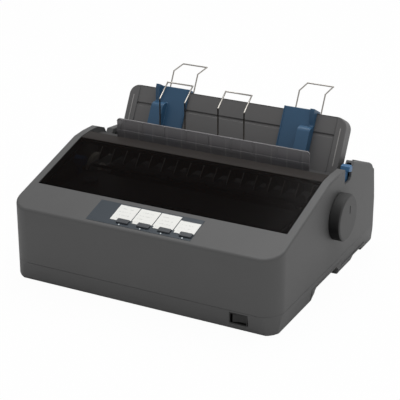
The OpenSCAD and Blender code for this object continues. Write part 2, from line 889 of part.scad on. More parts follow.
module loop_2d(r) {
    translate([pulley_x, -r]) square([idler_pulley_x - pulley_x, 2 * r]);
    translate([pulley_x, 0]) circle(r);
    translate([idler_pulley_x, 0]) circle(r);
}

// ---- ribbon cartridge ----

// Cartridge body with an arm at each end, and the inked ribbon between the arms
module ribbon_cartridge() {
    arm_top = 90;
    arm_z = ribbon_z - 4;
    half = cart_hw - 6;
    color("#17181a") difference() {
        union() {
            translate([-cart_hw, cart_front_y, cart_bottom_z])
                cube([2 * cart_hw, cart_back_y - cart_front_y, cart_t]);
            for (s = [-1, 1]) {
                translate([s > 0 ? cart_hw - cart_arm_w : -cart_hw, cart_back_y - eps, arm_z])
                    cube([cart_arm_w, ribbon_y - cart_back_y + 2.5, arm_top - arm_z]);
                // Lugs that rest on the side plates
                translate([s > 0 ? cart_hw - eps : -plate_out, cart_back_y - 38, cart_bottom_z])
                    cube([plate_out - cart_hw + eps, 20, 6]);
            }
        }
        translate([-half - 1, ribbon_y - 0.6, ribbon_z - 0.6])
            cube([2 * half + 2, 1.4, ribbon_h + 1.2]);
        translate([ribbon_knob_x, ribbon_knob_y, cart_top_z - 5])
            cylinder(h = 10, r = ribbon_knob_r - 3);
        translate([-30, cart_front_y + 6, cart_top_z - 1]) cube([60, 12, 3]);
        // The front edge is chamfered
        across(-cart_hw - 1, cart_hw + 1)
            polygon([[cart_front_y - 1, cart_top_z - 4], [cart_front_y - 1, cart_top_z + 1],
                [cart_front_y + 4, cart_top_z + 1]]);
    }
    color("#0c0c0e") translate([-half - 1, ribbon_y, ribbon_z]) cube([2 * half + 2, 0.2, ribbon_h]);
}

module ribbon_knob() {
    color("#2a2c30") translate([ribbon_knob_x, ribbon_knob_y, 0]) difference() {
        union() {
            translate([0, 0, cart_top_z - 4.7]) cylinder(h = 6, r = ribbon_knob_r - 3 - run);
            translate([0, 0, cart_top_z + gap]) cylinder(h = 5, r = ribbon_knob_r);
        }
        for (i = [0 : 11])
            rotate(i * 30) translate([ribbon_knob_r - 0.6, -0.8, cart_top_z + 1]) cube([3, 1.6, 8]);
        translate([-5, -0.8, cart_top_z + 4]) cube([10, 1.6, 5]);
    }
}

// ---- sheet chute and tractors ----

module sheet_slope() {
    y0 = platen_y + platen_r + 6.5;
    y1 = panel_y + panel_low * sin(guide_lean) - 3;
    z0 = platen_z - 1.5;
    z1 = panel_z + panel_low * cos(guide_lean) - 2;
    color("#343438") {
        across(-plate_in, plate_in)
            polygon([[y0, z0], [y1, z1], [y1 + 2, z1 - 1.8], [y0 + 2, z0 - 1.8]]);
        for (i = [-6 : 6])
            across(i * 22 - 0.8, i * 22 + 0.8)
                polygon([[y0 + 1, z0 + 0.8], [y0 + 1, z0 + 3], [y1 - 3, z1 + 0.5], [y1, z1]]);
    }
}

module tractor_shaft() {
    color("silver") {
        bar_x(-plate_out - 9, plate_out + 1, tractor_y, tractor_z, hex_r);
        for (s = [-1, 1])
            bar_x(s > 0 ? plate_in - 0.5 : -plate_out - 1, s > 0 ? plate_out + 1 : -plate_in + 0.5,
                tractor_y, tractor_z, hex_r + 1);
    }
    color("#e4e0d4") train_gear(tractor_teeth, 180 + 180 / tractor_teeth, tractor_y, tractor_z, hex_r);
}

// Tractor body: a housing on the rod and shaft, with a well for its sprocket
module tractor_body(x, s) {
    x0 = x - tractor_w / 2;
    color("#2a2c30") difference() {
        translate([x0, tractor_front, tractor_z - 12])
            cube([tractor_w, tractor_back - tractor_front, tractor_top - tractor_z + 12]);
        translate([x - sprocket_t / 2 - 0.6, tractor_y - 12, tractor_z - 10.4])
            cube([sprocket_t + 1.2, 22.8, 40]);
        bar_x(x0 - 1, x0 + tractor_w + 1, tractor_y, tractor_z, hex_r + 1.5);
        bar_x(x0 - 1, x0 + tractor_w + 1, guide_rod_y, guide_rod_z, guide_rod_r + run);
    }
    // Round-topped ears that hold the cover's hinge pin
    color("#2a2c30") for (y = [tractor_front + 2.2, tractor_back - 5.7])
        difference() {
            union() {
                translate([x + s * (tractor_w / 2 + 1.4) - 1.6, y, tractor_top - 6])
                    cube([3.2, 3.5, 7.4]);
                bar_y(x + s * (tractor_w / 2 + 1.4), y, y + 3.5, tractor_top + 1.4, 1.6);
            }
            bar_y(x + s * (tractor_w / 2 + 1.4), y - 1, y + 5, tractor_top + 1.4, 0.9 + run);
        }
}

module tractor_cover(x, s) {
    x0 = x - tractor_w / 2;
    color("#3a3c42") difference() {
        union() {
            translate([x0 + (s > 0 ? 0 : 0.6), tractor_front + 1, tractor_top + gap])
                cube([tractor_w - 0.6, tractor_back - tractor_front - 2, 2.7]);
            bar_y(x + s * (tractor_w / 2 + 1.4), tractor_front + 6, tractor_back - 6,
                tractor_top + 1.4, 1.4);
            bar_y(x + s * (tractor_w / 2 + 1.4), tractor_front + 3, tractor_back - 3,
                tractor_top + 1.4, 0.9);
            translate([s > 0 ? x + tractor_w / 2 - 1 : x - tractor_w / 2 - 1.4,
                tractor_front + 6, tractor_top + gap + 0.5])
                cube([2.4, tractor_back - tractor_front - 12, 1.8]);
        }
        translate([x - 2.5, tractor_y - 11, tractor_top - 1]) cube([5, 22, 10]);
    }
}

// A round bar along Y through a point
module bar_y(x, y0, y1, z, r) {
    translate([x, y1, z]) rotate([90, 0, 0]) cylinder(h = y1 - y0, r = r);
}

module tractor_sprocket(x) {
    color("#c8c8c8") translate([x - sprocket_t / 2, tractor_y, tractor_z]) rotate([90, 0, 90]) {
        linear_extrude(sprocket_t) difference() {
            circle(sprocket_r);
            circle(hex_r + 0.1);
        }
        for (i = [0 : 5])
            rotate(30 + i * 60) translate([sprocket_r - 0.5, 0, sprocket_t / 2]) rotate([0, 90, 0])
                cylinder(h = 1.8, r = 1.6);
    }
}

module tractor_left() {
    tractor_body(-tractor_x, -1);
}

module tractor_left_cover() {
    tractor_cover(-tractor_x, -1);
}

module tractor_left_sprocket() {
    tractor_sprocket(-tractor_x);
}

module tractor_right() {
    tractor_body(tractor_x, 1);
}

module tractor_right_cover() {
    tractor_cover(tractor_x, 1);
}

module tractor_right_sprocket() {
    tractor_sprocket(tractor_x);
}

// ---- paper guide ----

// Bosses on the inner faces of the skirts that hold the paper guide's pins
module guide_bearings() {
    left = guide_x - guide_w / 2;
    right = guide_x + guide_w / 2;
    boss_r = pivot_r + 3;
    color("#343438") {
        difference() {
            bar_x(-open_hw, left - 0.4, pivot_y, pivot_z, boss_r);
            bar_x(left - pivot_len - 1, left, pivot_y, pivot_z, pivot_r + run);
        }
        difference() {
            bar_x(right + 0.4, open_hw, pivot_y, pivot_z, boss_r);
            bar_x(right, right + pivot_len + 1, pivot_y, pivot_z, pivot_r + run);
        }
    }
}

module paper_guide() {
    low = panel_low;
    h = guide_h - low;
    color("#565658") {
        on_guide() difference() {
            translate([guide_x, guide_d, low]) rotate([90, 0, 0]) linear_extrude(guide_d)
                arch(guide_w, h, guide_r);
            // Hollow back
            translate([guide_x, guide_d + 1, low - 1]) rotate([90, 0, 0])
                linear_extrude(guide_d + 1 - panel_t - panel_step)
                    arch(guide_w - 2 * panel_t, h - panel_t + 1, guide_r - panel_t);
            // The middle of the face is set back between the two flanges
            translate([guide_x - guide_w / 2 + flange_front_w, -1, low - 1])
                cube([guide_w - 2 * flange_front_w, 1 + panel_step, h + 2]);
            // Groove that the edge guides run in
            translate([guide_x - guide_w / 2 + flange_front_w, 0, groove_z - groove_h / 2])
                cube([guide_w - 2 * flange_front_w, panel_step + 1.2, groove_h]);
        }
        on_guide() for (x = [rear_wire_left_x, rear_wire_right_x])
            wire_ears(x, rear_wire_v, rear_wire_pivot_u, panel_t + panel_step - eps);
        for (s = [-1, 1])
            bar_x(s > 0 ? guide_x + guide_w / 2 - eps : guide_x - guide_w / 2 - pivot_len,
                s > 0 ? guide_x + guide_w / 2 + pivot_len : guide_x - guide_w / 2 + eps,
                pivot_y, pivot_z, pivot_r);
    }
}

// Two ears from a wall at depth v0 that hold the pivot ends of a wire loop
module wire_ears(x, v, u, v0) {
    for (s = [-1, 1])
        difference() {
            translate([x + s * (wire_w / 2 + 3.2) - ear_t / 2, v0, u - 4])
                cube([ear_t, v - v0 + 3, 8]);
            bar_x(x + s * (wire_w / 2 + 3.2) - ear_t, x + s * (wire_w / 2 + 3.2) + ear_t,
                v, u, wire_r + run);
        }
}

// Edge guide: a plate on the face of the paper guide, hooked over its top, with a broad
// foot and a narrow fence above it along its outer edge; s is the side the fence is on
module edge_guide(x_fence, s) {
    x0 = s < 0 ? x_fence : x_fence - edge_w;
    face = panel_step - gap;
    low = panel_low + 3;
    top = guide_h + 3.6;
    foot_top = 45;
    foot_w = 17;
    fence_w = 6;
    color("#2f5a7d") on_guide() {
        translate([x0, face - edge_t, low]) cube([edge_w, edge_t, top - low]);
        translate([x0, face - edge_t, guide_h + gap]) cube([edge_w, 12, top - guide_h - gap]);
        translate([x0 + 2, face - eps, groove_z - groove_h / 2 + gap])
            cube([edge_w - 4, 1.2, groove_h - 2 * gap]);
        across(s < 0 ? x_fence : x_fence - foot_w, s < 0 ? x_fence + foot_w : x_fence)
            polygon([[face - eps, low], [-fence_d, low], [-fence_d, foot_top - 8],
                [-fence_d + 1.5, foot_top - 4], [-fence_d + 4.5, foot_top - 1.5],
                [-4, foot_top], [face - eps, foot_top]]);
        across(s < 0 ? x_fence : x_fence - fence_w, s < 0 ? x_fence + fence_w : x_fence)
            polygon([[face - eps, foot_top - 1], [-4, foot_top - 1], [-3.5, foot_top + 2],
                [-10.5, top - 5], [-11, top], [face - eps, top]]);
        // Rib along the inner edge of the plate
        translate([s < 0 ? x_fence + edge_w - 1.6 : x_fence - edge_w, face - edge_t - 1.2, low])
            cube([1.6, 1.2 + eps, top - low]);
    }
}

module edge_guide_left() {
    edge_guide(edge_left_x, -1);
}

module edge_guide_right() {
    edge_guide(edge_right_x, 1);
}

// Wire loop with its feet turned outwards: feet at the origin, legs up along z to
// the kink, then leaned towards +y by bend
module wire_loop(leg, bend) {
    half = wire_w / 2;
    knot_r = wire_r + 0.15;
    dy = wire_top * sin(bend);
    dz = wire_top * cos(bend);
    for (s = [-1, 1]) {
        translate([s * half, 0, 0]) cylinder(h = leg, r = wire_r);
        translate([s * half, 0, 0]) sphere(knot_r);
        bar_x(s > 0 ? half : -half - 5, s > 0 ? half + 5 : -half, 0, 0, wire_r);
        translate([s * half, 0, leg]) sphere(knot_r);
        translate([s * half, 0, leg]) rotate([-bend, 0, 0]) cylinder(h = wire_top, r = wire_r);
        translate([s * half, dy, leg + dz]) sphere(knot_r);
    }
    bar_x(-half, half, dy, leg + dz, wire_r);
}

module rear_wire(x) {
    color("#a8a49e") on_guide() translate([x, rear_wire_v, rear_wire_pivot_u])
        wire_loop(rear_wire_kink_u - rear_wire_pivot_u, rear_wire_bend);
}

module rear_wire_left() {
    rear_wire(rear_wire_left_x);
}

module rear_wire_right() {
    rear_wire(rear_wire_right_x);
}

// ---- separator ----

module separator_bar() {
    color("#343436") {
        translate([-open_hw, sep_y, bar_z]) cube([2 * open_hw, bar_d, bar_h]);
        for (x = [front_wire_left_x, front_wire_mid_x])
            translate([0, 0, bar_z + bar_h - eps]) for (s = [-1, 1])
                difference() {
                    translate([x + s * (wire_w / 2 + 3.2) - ear_t / 2, sep_y + sep_t + 0.2, 0])
                        cube([ear_t, bar_d - sep_t - 0.2, 8]);
                    bar_x(x + s * (wire_w / 2 + 3.2) - ear_t, x + s * (wire_w / 2 + 3.2) + ear_t,
                        front_wire_y, front_wire_z - bar_z - bar_h, wire_r + run);
                }
    }
}

module separator() {
    rib_pitch = 30.7;
    rib_count = floor((sep_w / 2 - 6) / rib_pitch);
    color("#6a6a6c", 0.6) {
        translate([sep_x, sep_y + sep_t, bar_z + bar_h]) rotate([90, 0, 0])
            linear_extrude(sep_t) arch(sep_w, sep_top_z - bar_z - bar_h, 3.5);
        // Ribs on the front of the plate, and a thicker lower band
        for (i = [-rib_count : rib_count])
            translate([i * rib_pitch - 3.6, sep_y - 0.8, bar_z + bar_h + 9])
                cube([1.2, 0.8 + eps, sep_top_z - bar_z - bar_h - 9]);
        translate([sep_x - sep_w / 2, sep_y - 0.8, bar_z + bar_h + 7])
            cube([sep_w, 0.8 + eps, 4]);
    }
}

module front_wire(x) {
    color("#a8a49e") translate([x, front_wire_y, front_wire_z])
        wire_loop(front_wire_kink_z - front_wire_z, front_wire_bend);
}

module front_wire_left() {
    front_wire(front_wire_left_x);
}

module front_wire_mid() {
    front_wire(front_wire_mid_x);
}

// ---- cover ----

module cover_window() {
    color("#120e0c", 0.85) on_deck() {
        v0 = (cover_front_y + cover_gap - front_y) / cos(deck_slope);
        v1 = (window_back_y - front_y) / cos(deck_slope);
        translate([-cover_hw, v0, -cover_t]) cube([2 * cover_hw, v1 - v0, cover_t]);
        translate([-cover_hw + 4, v0 + 3, -cover_t - 4]) cube([2 * cover_hw - 8, 2, 4 + eps]);
        for (s = [-1, 1])
            translate([s > 0 ? cover_hw - 6 : -cover_hw + 4, v0 + 3, -cover_t - 4])
                cube([2, v1 - v0 - 9, 4 + eps]);
    }
}

// Height and depth of a point at a distance v up the deck and n out of it
function deck_point(v, n) = [front_y + v * cos(deck_slope) - n * sin(deck_slope),
    front_h + v * sin(deck_slope) + n * cos(deck_slope)];

// Opaque rear strip of the cover: its tongue is welded under the window, and an arm at
// each end reaches back to a hinge pin
module cover_ledge() {
    z1 = top_z + 0.6;
    v1 = (window_back_y - front_y) / cos(deck_slope);
    tongue = 5;
    low = -cover_t - 1.5;
    arm_y = ledge_back_y - 5;
    color("#4a4543") {
        across(-cover_hw, cover_hw)
            polygon([deck_point(v1, 0), [window_back_y + 6, z1], [ledge_back_y, z1],
                [ledge_back_y, z1 - cover_t], [window_back_y + 7, z1 - cover_t],
                deck_point(v1, low), deck_point(v1 - tongue, low),
                deck_point(v1 - tongue, -cover_t), deck_point(v1, -cover_t)]);
        for (s = [-1, 1]) {
            across(s > 0 ? cover_hw - 2.5 : -cover_hw, s > 0 ? cover_hw : -cover_hw + 2.5)
                union() {
                    translate([hinge_y, hinge_z]) circle(cover_pin_r + 1.4);
                    polygon([[arm_y, z1 - cover_t], [hinge_y - cover_pin_r - 1.4, hinge_z],
                        [hinge_y + cover_pin_r + 1.4, hinge_z], [ledge_back_y, z1], [arm_y, z1]]);
                }
            bar_x(s > 0 ? cover_hw - eps : -cover_hw - 2, s > 0 ? cover_hw + 2 : -cover_hw + eps,
                hinge_y, hinge_z, cover_pin_r);
        }
    }
}

// ---- levers ----

// Paper release lever: an arm on the right side plate's pin and a tab in the rim's notch
module release_lever() {
    tab_y = lever_pin_y - 6;
    color("#4a7da8") {
        across(lever_x, lever_x + lever_t) difference() {
            union() {
                translate([lever_pin_y, lever_pin_z]) circle(lever_pin_r + 3);
                polygon([[lever_pin_y - 5, lever_pin_z], [lever_pin_y + 5, lever_pin_z],
                    [tab_y + 4, 134], [tab_y - 4, 134]]);
            }
            translate([lever_pin_y, lever_pin_z]) circle(lever_pin_r + run);
        }
        across(open_hw + 0.5, side + 1.5)
            polygon([[tab_y - 6, 130.5], [tab_y + 4, 127.5], [tab_y + 6, 133], [tab_y + 3, 136.5],
                [tab_y - 4, 136.5]]);
    }
}

// Paper thickness lever on the left side plate
module gap_lever() {
    color("#24445f") {
        across(gap_lever_x, gap_lever_x + 4) difference() {
            union() {
                translate([gap_lever_y, gap_lever_z]) circle(lever_pin_r + 3);
                polygon([[gap_lever_y - 5, gap_lever_z], [gap_lever_y + 5, gap_lever_z],
                    [gap_lever_y - 7, 112], [gap_lever_y - 15, 112]]);
            }
            translate([gap_lever_y, gap_lever_z]) circle(lever_pin_r + run);
        }
        across(gap_lever_x, gap_lever_x + 14)
            translate([gap_lever_y, 0])
                polygon([[-17, 108], [-7, 108], [-5, 116], [-10, 119], [-17, 117]]);
    }
}

// ---- controls ----

module label() {
    color("#36434f") on_deck() difference() {
        translate([label_x - label_w / 2 + 0.1, label_v0 + 0.1, -label_t])
            cube([label_w - 0.2, label_v1 - label_v0 - 0.2, label_t + 0.1]);
        button_holes(0.2);
        for (i = [0 : 3])
            translate([led_x(i), led_v, -5]) cylinder(h = 10, r = led_r + run);
    }
    // White tiles, with the foot of each cut away for its button
    color("#f2f2ee") on_deck() difference() {
        for (i = [0 : 3])
            translate([tile_x + i * tile_pitch, tile_v0, 0.1 - eps])
                cube([tile_w, (i < 3 ? tile_v1 : tile_v1 - 5.5) - tile_v0, tile_t]);
        for (i = [0 : 3])
            translate([button_x(i) - button_w / 2 - 0.3, tile_v0 - 1, -1])
                cube([button_w + 4, button_v + button_l / 2 + 1.3 - tile_v0, 5]);
    }
    color("#dfe6ea") on_deck() for (i = [0 : 3])
        translate([led_x(i), led_v, -label_t - wall])
            cylinder(h = label_t + wall + 0.4, r = led_r - 0.02);
}

module button_holes(grow) {
    for (i = [0 : 3])
        translate([button_x(i), button_v, -5]) linear_extrude(10)
            rounded(button_w + 2 * grow, button_l + 2 * grow, 1.2 + grow);
}

module panel_board() {
    color("#2e5a3a") on_deck() {
        translate([-panel_board_w / 2 + label_x, label_v0 + 2, -wall - board_gap - board_t])
            cube([panel_board_w, 26, board_t]);
        for (i = [0 : 3])
            translate([button_x(i) - 3, button_v - 3, -wall - board_gap - eps])
                cube([6, 6, 3]);
    }
}

module button(i) {
    rise = label_t + button_travel + 0.2;
    color("#3b3f44") on_deck()
        translate([button_x(i), button_v, 0]) {
            translate([0, 0, 0.1 + tile_t + 0.2 - button_h + button_travel])
                linear_extrude(button_h) rounded(button_w, button_l, 1.2);
            translate([0, 0, -wall - board_gap + 3 + button_travel - eps])
                linear_extrude(wall + board_gap - 3 - rise + 0.9 + eps)
                    square([button_w - 3, button_l - 3], center = true);
        }
}

module button_1() {
    button(0);
}

module button_2() {
    button(1);
}

module button_3() {
    button(2);
}

module button_4() {
    button(3);
}

// ---- electronics ----

module main_board() {
    color("#2e5a3a") {
        translate([board_x0, board_y0, pan_z]) cube([board_x1 - board_x0, port_y - board_y0, board_t]);
    }
    color("#1a1a1a") for (i = [0 : 2])
        translate([board_x0 + 14 + i * 34, board_y0 + 26, port_z - eps]) cube([20, 20, 2.4]);
    color("#2c3a6a") for (i = [0 : 3])
        translate([board_x1 - 14 - i * 14, board_y0 + 10, port_z - eps]) cylinder(h = 14, r = 5);
}

// Sockets along the rear edge of the main board: parallel, serial and USB
module sockets() {
    color("#b8babc") difference() {
        socket_blocks(0, 20);
        translate([0, 10, 0]) socket_blocks(-1.6, 20);
    }
}

module socket_blocks(grow, depth) {
    for (p = [[parallel_x, parallel_w, 14], [serial_x, serial_w, 12], [usb_x, usb_w, 11]])
        translate([p[0] - p[1] / 2 - grow, socket_y - grow * 0, port_z - grow])
            cube([p[1] + 2 * grow, depth, p[2] + 2 * grow]);
}

module power_supply() {
    color("#b4b6b8") difference() {
        translate([psu_x0, psu_y0, psu_z0]) cube([psu_x1 - psu_x0, psu_y1 - psu_y0, psu_z1 - psu_z0]);
        translate([psu_x0 + 1.5, psu_y0 + 1.5, psu_z0 + 1.5])
            cube([psu_x1 - psu_x0 - 3, psu_y1 - psu_y0 - 3, psu_z1 - psu_z0 - 3]);
        for (i = [0 : 9])
            translate([psu_x0 + 14 + i * 9, psu_y0 + 10, psu_z1 - 3]) cube([4, 50, 5]);
    }
}

// Mains inlet: a shrouded socket with three pins, in the rear of the lower case
module inlet() {
    w = inlet_w - 0.2;
    h = inlet_h - 0.2;
    color("#141414") difference() {
        translate([inlet_x - w / 2, back_y - 19, inlet_z - h / 2]) cube([w, 18.6, h]);
        translate([inlet_x - w / 2 + 2, back_y - 15, inlet_z - h / 2 + 2]) cube([w - 4, 20, h - 4]);
    }
    color("silver") for (i = [-1 : 1])
        translate([inlet_x + i * 7 - 1, back_y - 15 - eps, inlet_z - 2 + (i == 0 ? 2.4 : -1.4)])
            cube([2, 9, 4]);
}

// Power switch: a frame pressed into the front wall, and its rocker
module switch_bezel() {
    color("#161616") difference() {
        union() {
            translate([switch_x - switch_w / 2 + 0.1, front_y + 0.4, switch_z - switch_h / 2 + 0.1])
                cube([switch_w - 0.2, 18, switch_h - 0.2]);
        }
        translate([switch_x - switch_w / 2 + 1.5, front_y - 5, switch_z - switch_h / 2 + 1.5])
            cube([switch_w - 3, 17, switch_h - 3]);
        translate([switch_x, front_y + 9, switch_z - switch_h]) cylinder(h = 2 * switch_h, r = 1.05);
    }
}

module rocker() {
    rw = switch_w - 6;
    rh = switch_h - 3.8;
    color("#101010") translate([switch_x, front_y + 9, switch_z]) rotate([0, 0, rocker_tilt]) {
        translate([0, 0, -rh / 2]) linear_extrude(rh)
            polygon([[-rw / 2, -7], [0, -6], [rw / 2, -7], [rw / 2 - 2.5, 0.8], [-rw / 2 + 2.5, 0.8]]);
        translate([0, 0, -switch_h / 2 + 0.4]) cylinder(h = switch_h - 0.8, r = 1);
    }
}

lower_case();
upper_case();
feet();
case_screws();
frame_pan();
side_plate_left();
side_plate_right();
platen_roller();
platen_shaft();
platen_gear();
knob();
platen_bushings();
paper_chute();
idler_gear_front();
idler_gear_rear();
motors();
feed_pinion();
bail();
exit_guide();
guide_rods();
carriage();
print_head();
drive_pulley();
idler_pulley();
drive_belt();
ribbon_cartridge();
ribbon_knob();
tractor_shaft();
main_board();
sockets();
power_supply();
inlet();
tractor_left();
tractor_left_cover();
tractor_left_sprocket();
tractor_right();
tractor_right_cover();
tractor_right_sprocket();
guide_bearings();
paper_guide();
edge_guide_left();
edge_guide_right();
rear_wire_left();
rear_wire_right();
separator_bar();
separator();
front_wire_left();
front_wire_mid();
cover_window();
cover_ledge();
release_lever();
gap_lever();
label();
panel_board();
button_1();
button_2();
button_3();
button_4();
switch_bezel();
rocker();
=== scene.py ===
"""Desktop dot matrix printer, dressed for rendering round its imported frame."""
import math

import bpy
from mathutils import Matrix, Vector


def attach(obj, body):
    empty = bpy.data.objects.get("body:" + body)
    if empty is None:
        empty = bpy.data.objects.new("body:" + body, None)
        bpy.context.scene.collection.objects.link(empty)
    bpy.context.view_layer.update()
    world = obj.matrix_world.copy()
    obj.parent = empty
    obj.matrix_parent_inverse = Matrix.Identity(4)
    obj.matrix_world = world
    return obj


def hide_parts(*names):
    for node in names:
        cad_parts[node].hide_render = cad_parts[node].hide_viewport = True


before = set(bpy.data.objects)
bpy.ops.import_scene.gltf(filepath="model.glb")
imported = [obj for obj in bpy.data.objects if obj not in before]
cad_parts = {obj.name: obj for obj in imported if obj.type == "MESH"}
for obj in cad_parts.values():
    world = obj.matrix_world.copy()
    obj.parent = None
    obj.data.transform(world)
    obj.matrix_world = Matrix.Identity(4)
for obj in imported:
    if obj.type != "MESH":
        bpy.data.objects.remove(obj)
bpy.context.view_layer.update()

# ---------------------------------------------------------------------------
# Camera. The photograph looks down on the printer's front right corner with a
# long lens: the azimuth and elevation of its line of sight give the place.
MM = 0.001
camera_azimuth = math.radians(27.449)
camera_elevation = math.radians(22.765)
camera_distance = 1646.4 * MM
camera_target = Vector((3.22, -1.23, 80.0)) * MM
lens_mm = 121.67
sensor_mm = 36.0

line_of_sight = Vector((
    math.sin(camera_azimuth) * math.cos(camera_elevation),
    -math.cos(camera_azimuth) * math.cos(camera_elevation),
    math.sin(camera_elevation)))
bpy.ops.object.camera_add(location=camera_target + line_of_sight * camera_distance)
camera = bpy.context.active_object
camera.rotation_euler = line_of_sight.to_track_quat("Z", "Y").to_euler()
camera.data.lens = lens_mm
camera.data.sensor_width = sensor_mm
camera.data.sensor_height = sensor_mm
camera.data.clip_end = 50.0
bpy.context.scene.camera = camera
bpy.context.scene.view_settings.view_transform = "Standard"

# ---------------------------------------------------------------------------
# Studio: a white table in a white room, lit from overhead by one large soft box
# and a little from the right. The camera sees the room as plain white.


def linear(code):
    """Linear colour of an sRGB hex code such as "#5b5b5b"."""
    parts = [int(code[i:i + 2], 16) / 255 for i in (1, 3, 5)]
    return tuple(c / 12.92 if c <= 0.04045 else ((c + 0.055) / 1.055) ** 2.4
                 for c in parts) + (1.0,)


def add(tree, kind, settings=None, links=None):
    """Adds a node: settings go to its properties or its inputs, links to its inputs."""
    made = tree.nodes.new(kind)
    for key, value in (settings or {}).items():
        if isinstance(key, str) and hasattr(made, key):
            setattr(made, key, value)
        else:
            made.inputs[key].default_value = value
    for key, socket in (links or {}).items():
        tree.links.new(socket, made.inputs[key])
    return made


def new_material(name):
    """An empty node material and its tree."""
    made = bpy.data.materials.new(name)
    made.use_nodes = True
    made.node_tree.nodes.clear()
    return made, made.node_tree


room_white = (1.0, 1.0, 1.0, 1.0)
room_strength = 0.46
table_whitening = 0.97      # how far the camera sees the table as plain white
world = bpy.data.worlds.new("white_room")
world.use_nodes = True
world.node_tree.nodes.clear()
bpy.context.scene.world = world
sees = add(world.node_tree, "ShaderNodeLightPath")
sees_either = add(world.node_tree, "ShaderNodeMath", {"operation": "MAXIMUM"},
                  {0: sees.outputs["Is Camera Ray"], 1: sees.outputs["Is Transmission Ray"]})
lit = add(world.node_tree, "ShaderNodeBackground", {"Color": room_white, "Strength": room_strength})
shown = add(world.node_tree, "ShaderNodeBackground", {"Color": room_white, "Strength": 1.0})
room = add(world.node_tree, "ShaderNodeMixShader", None,
           {0: sees_either.outputs[0], 1: lit.outputs[0], 2: shown.outputs[0]})
add(world.node_tree, "ShaderNodeOutputWorld", None, {"Surface": room.outputs[0]})

# White paper: a matt sheet that takes only a trace of the printer's shadow
table_white, tree = new_material("white_paper_sweep")
table_paper = add(tree, "ShaderNodeBsdfDiffuse", {"Color": (0.86, 0.86, 0.86, 1.0)})
table_glow = add(tree, "ShaderNodeEmission", {"Color": room_white, "Strength": 1.0})
table_sees = add(tree, "ShaderNodeLightPath")
table_lift = add(tree, "ShaderNodeMath", {"operation": "MULTIPLY", 1: table_whitening},
                 {0: table_sees.outputs["Is Camera Ray"]})
table_mix = add(tree, "ShaderNodeMixShader", None,
                {0: table_lift.outputs[0], 1: table_paper.outputs[0], 2: table_glow.outputs[0]})
add(tree, "ShaderNodeOutputMaterial", None, {"Surface": table_mix.outputs[0]})
bpy.ops.object.select_all(action="DESELECT")
bpy.ops.mesh.primitive_plane_add(size=30.0, location=(0, 0, -0.0002))
table = bpy.context.active_object
table.name = "table"
table.data.materials.append(table_white)

lamp_aim = Vector((0.0, 0.0, 0.1))
for name, place, power, size in (("overhead_box", Vector((0.1, 0.45, 1.7)), 20.5, 1.5),
                                 ("right_box", Vector((1.8, -0.2, 0.7)), 0.4, 1.2)):
    bpy.ops.object.light_add(type="AREA", location=place)
    lamp = bpy.context.active_object
    lamp.name = name
    lamp.data.energy = power
    lamp.data.size = size
    lamp.rotation_euler = (place - lamp_aim).to_track_quat("Z", "Y").to_euler()

# ---------------------------------------------------------------------------
# Case: two injection-moulded halves of dark grey ABS. The mould was spark
# eroded, which leaves a fine even grain, and its edges are softly rounded.
case_colour = "#5b5b5b"
case_shade = "#555555"
case_grain = 1.1 * MM      # real grain is about 0.3 mm; drawn coarser so that it shows
case_edge = 2.8 * MM
fine_edge = 0.35 * MM
flow_marks = 14.0          # clouds in the colour for each metre, each about 70 mm wide
grain_relief = 0.2 * MM
soft_bend = 35             # degrees: flatter joints between faces are shaded as one surface
sharp_bend = 24            # degrees: sharper joints between faces are edges to be rounded
case_half_width = 174.0
case_half_depth = 151.0
front_corner = 25.0
rear_corner = 7.0
front_round = 6.5
side_round = 3.0
base_lean_in = 3.5         # the lower half narrows by this much on each side, down to its base
seam_height = 25.5
rear_wall_y = 138.0        # the vents and the socket openings lie behind this, and stay sharp
rear_wall_top = 84.0
lower_rear_y = 140.0


def moulded_plastic(name, colour, shade, grain, roughness, bump, shine=0.5):
    """Moulded plastic: flow marks in its colour, and a fine grain in its gloss and relief."""
    made, tree = new_material(name)
    place = add(tree, "ShaderNodeTexCoord")
    flow = add(tree, "ShaderNodeTexNoise",
               {"Scale": flow_marks, "Detail": 3.0, "Roughness": 0.55},
               {"Vector": place.outputs["Object"]})
    tone = add(tree, "ShaderNodeMix", {"data_type": "RGBA", 6: linear(colour), 7: linear(shade)},
               {0: flow.outputs["Fac"]})
    speck = add(tree, "ShaderNodeTexNoise", {"Scale": 1.0 / grain, "Detail": 2.0, "Roughness": 0.6},
                {"Vector": place.outputs["Object"]})
    gloss = add(tree, "ShaderNodeMapRange",
                {"From Min": 0.25, "From Max": 0.75,
                 "To Min": roughness - 0.07, "To Max": roughness + 0.07},
                {"Value": speck.outputs["Fac"]})
    relief = add(tree, "ShaderNodeBump", {"Strength": bump, "Distance": grain_relief},
                 {"Height": speck.outputs["Fac"]})
    surface = add(tree, "ShaderNodeBsdfPrincipled",
                  {"IOR": 1.53, "Specular IOR Level": shine},
                  {"Base Color": tone.outputs[2], "Roughness": gloss.outputs[0],
                   "Normal": relief.outputs[0]})
    add(tree, "ShaderNodeOutputMaterial", None, {"Surface": surface.outputs[0]})
    return made


def merged_copy(node, name):
    """A copy of a CAD node with its loose triangles joined into clean faces."""
    bpy.ops.object.select_all(action="DESELECT")
    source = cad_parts[node]
    source.select_set(True)
    bpy.context.view_layer.objects.active = source
    bpy.ops.object.duplicate()
    piece = bpy.context.active_object
    piece.name = name
    bpy.ops.mesh.customdata_custom_splitnormals_clear()
    bpy.ops.object.mode_set(mode="EDIT")
    bpy.ops.mesh.select_all(action="SELECT")
    bpy.ops.mesh.remove_doubles(threshold=0.000004)
    bpy.ops.mesh.dissolve_limited(angle_limit=math.radians(0.4))
    bpy.ops.mesh.select_all(action="DESELECT")
    bpy.ops.object.mode_set(mode="OBJECT")
    return piece


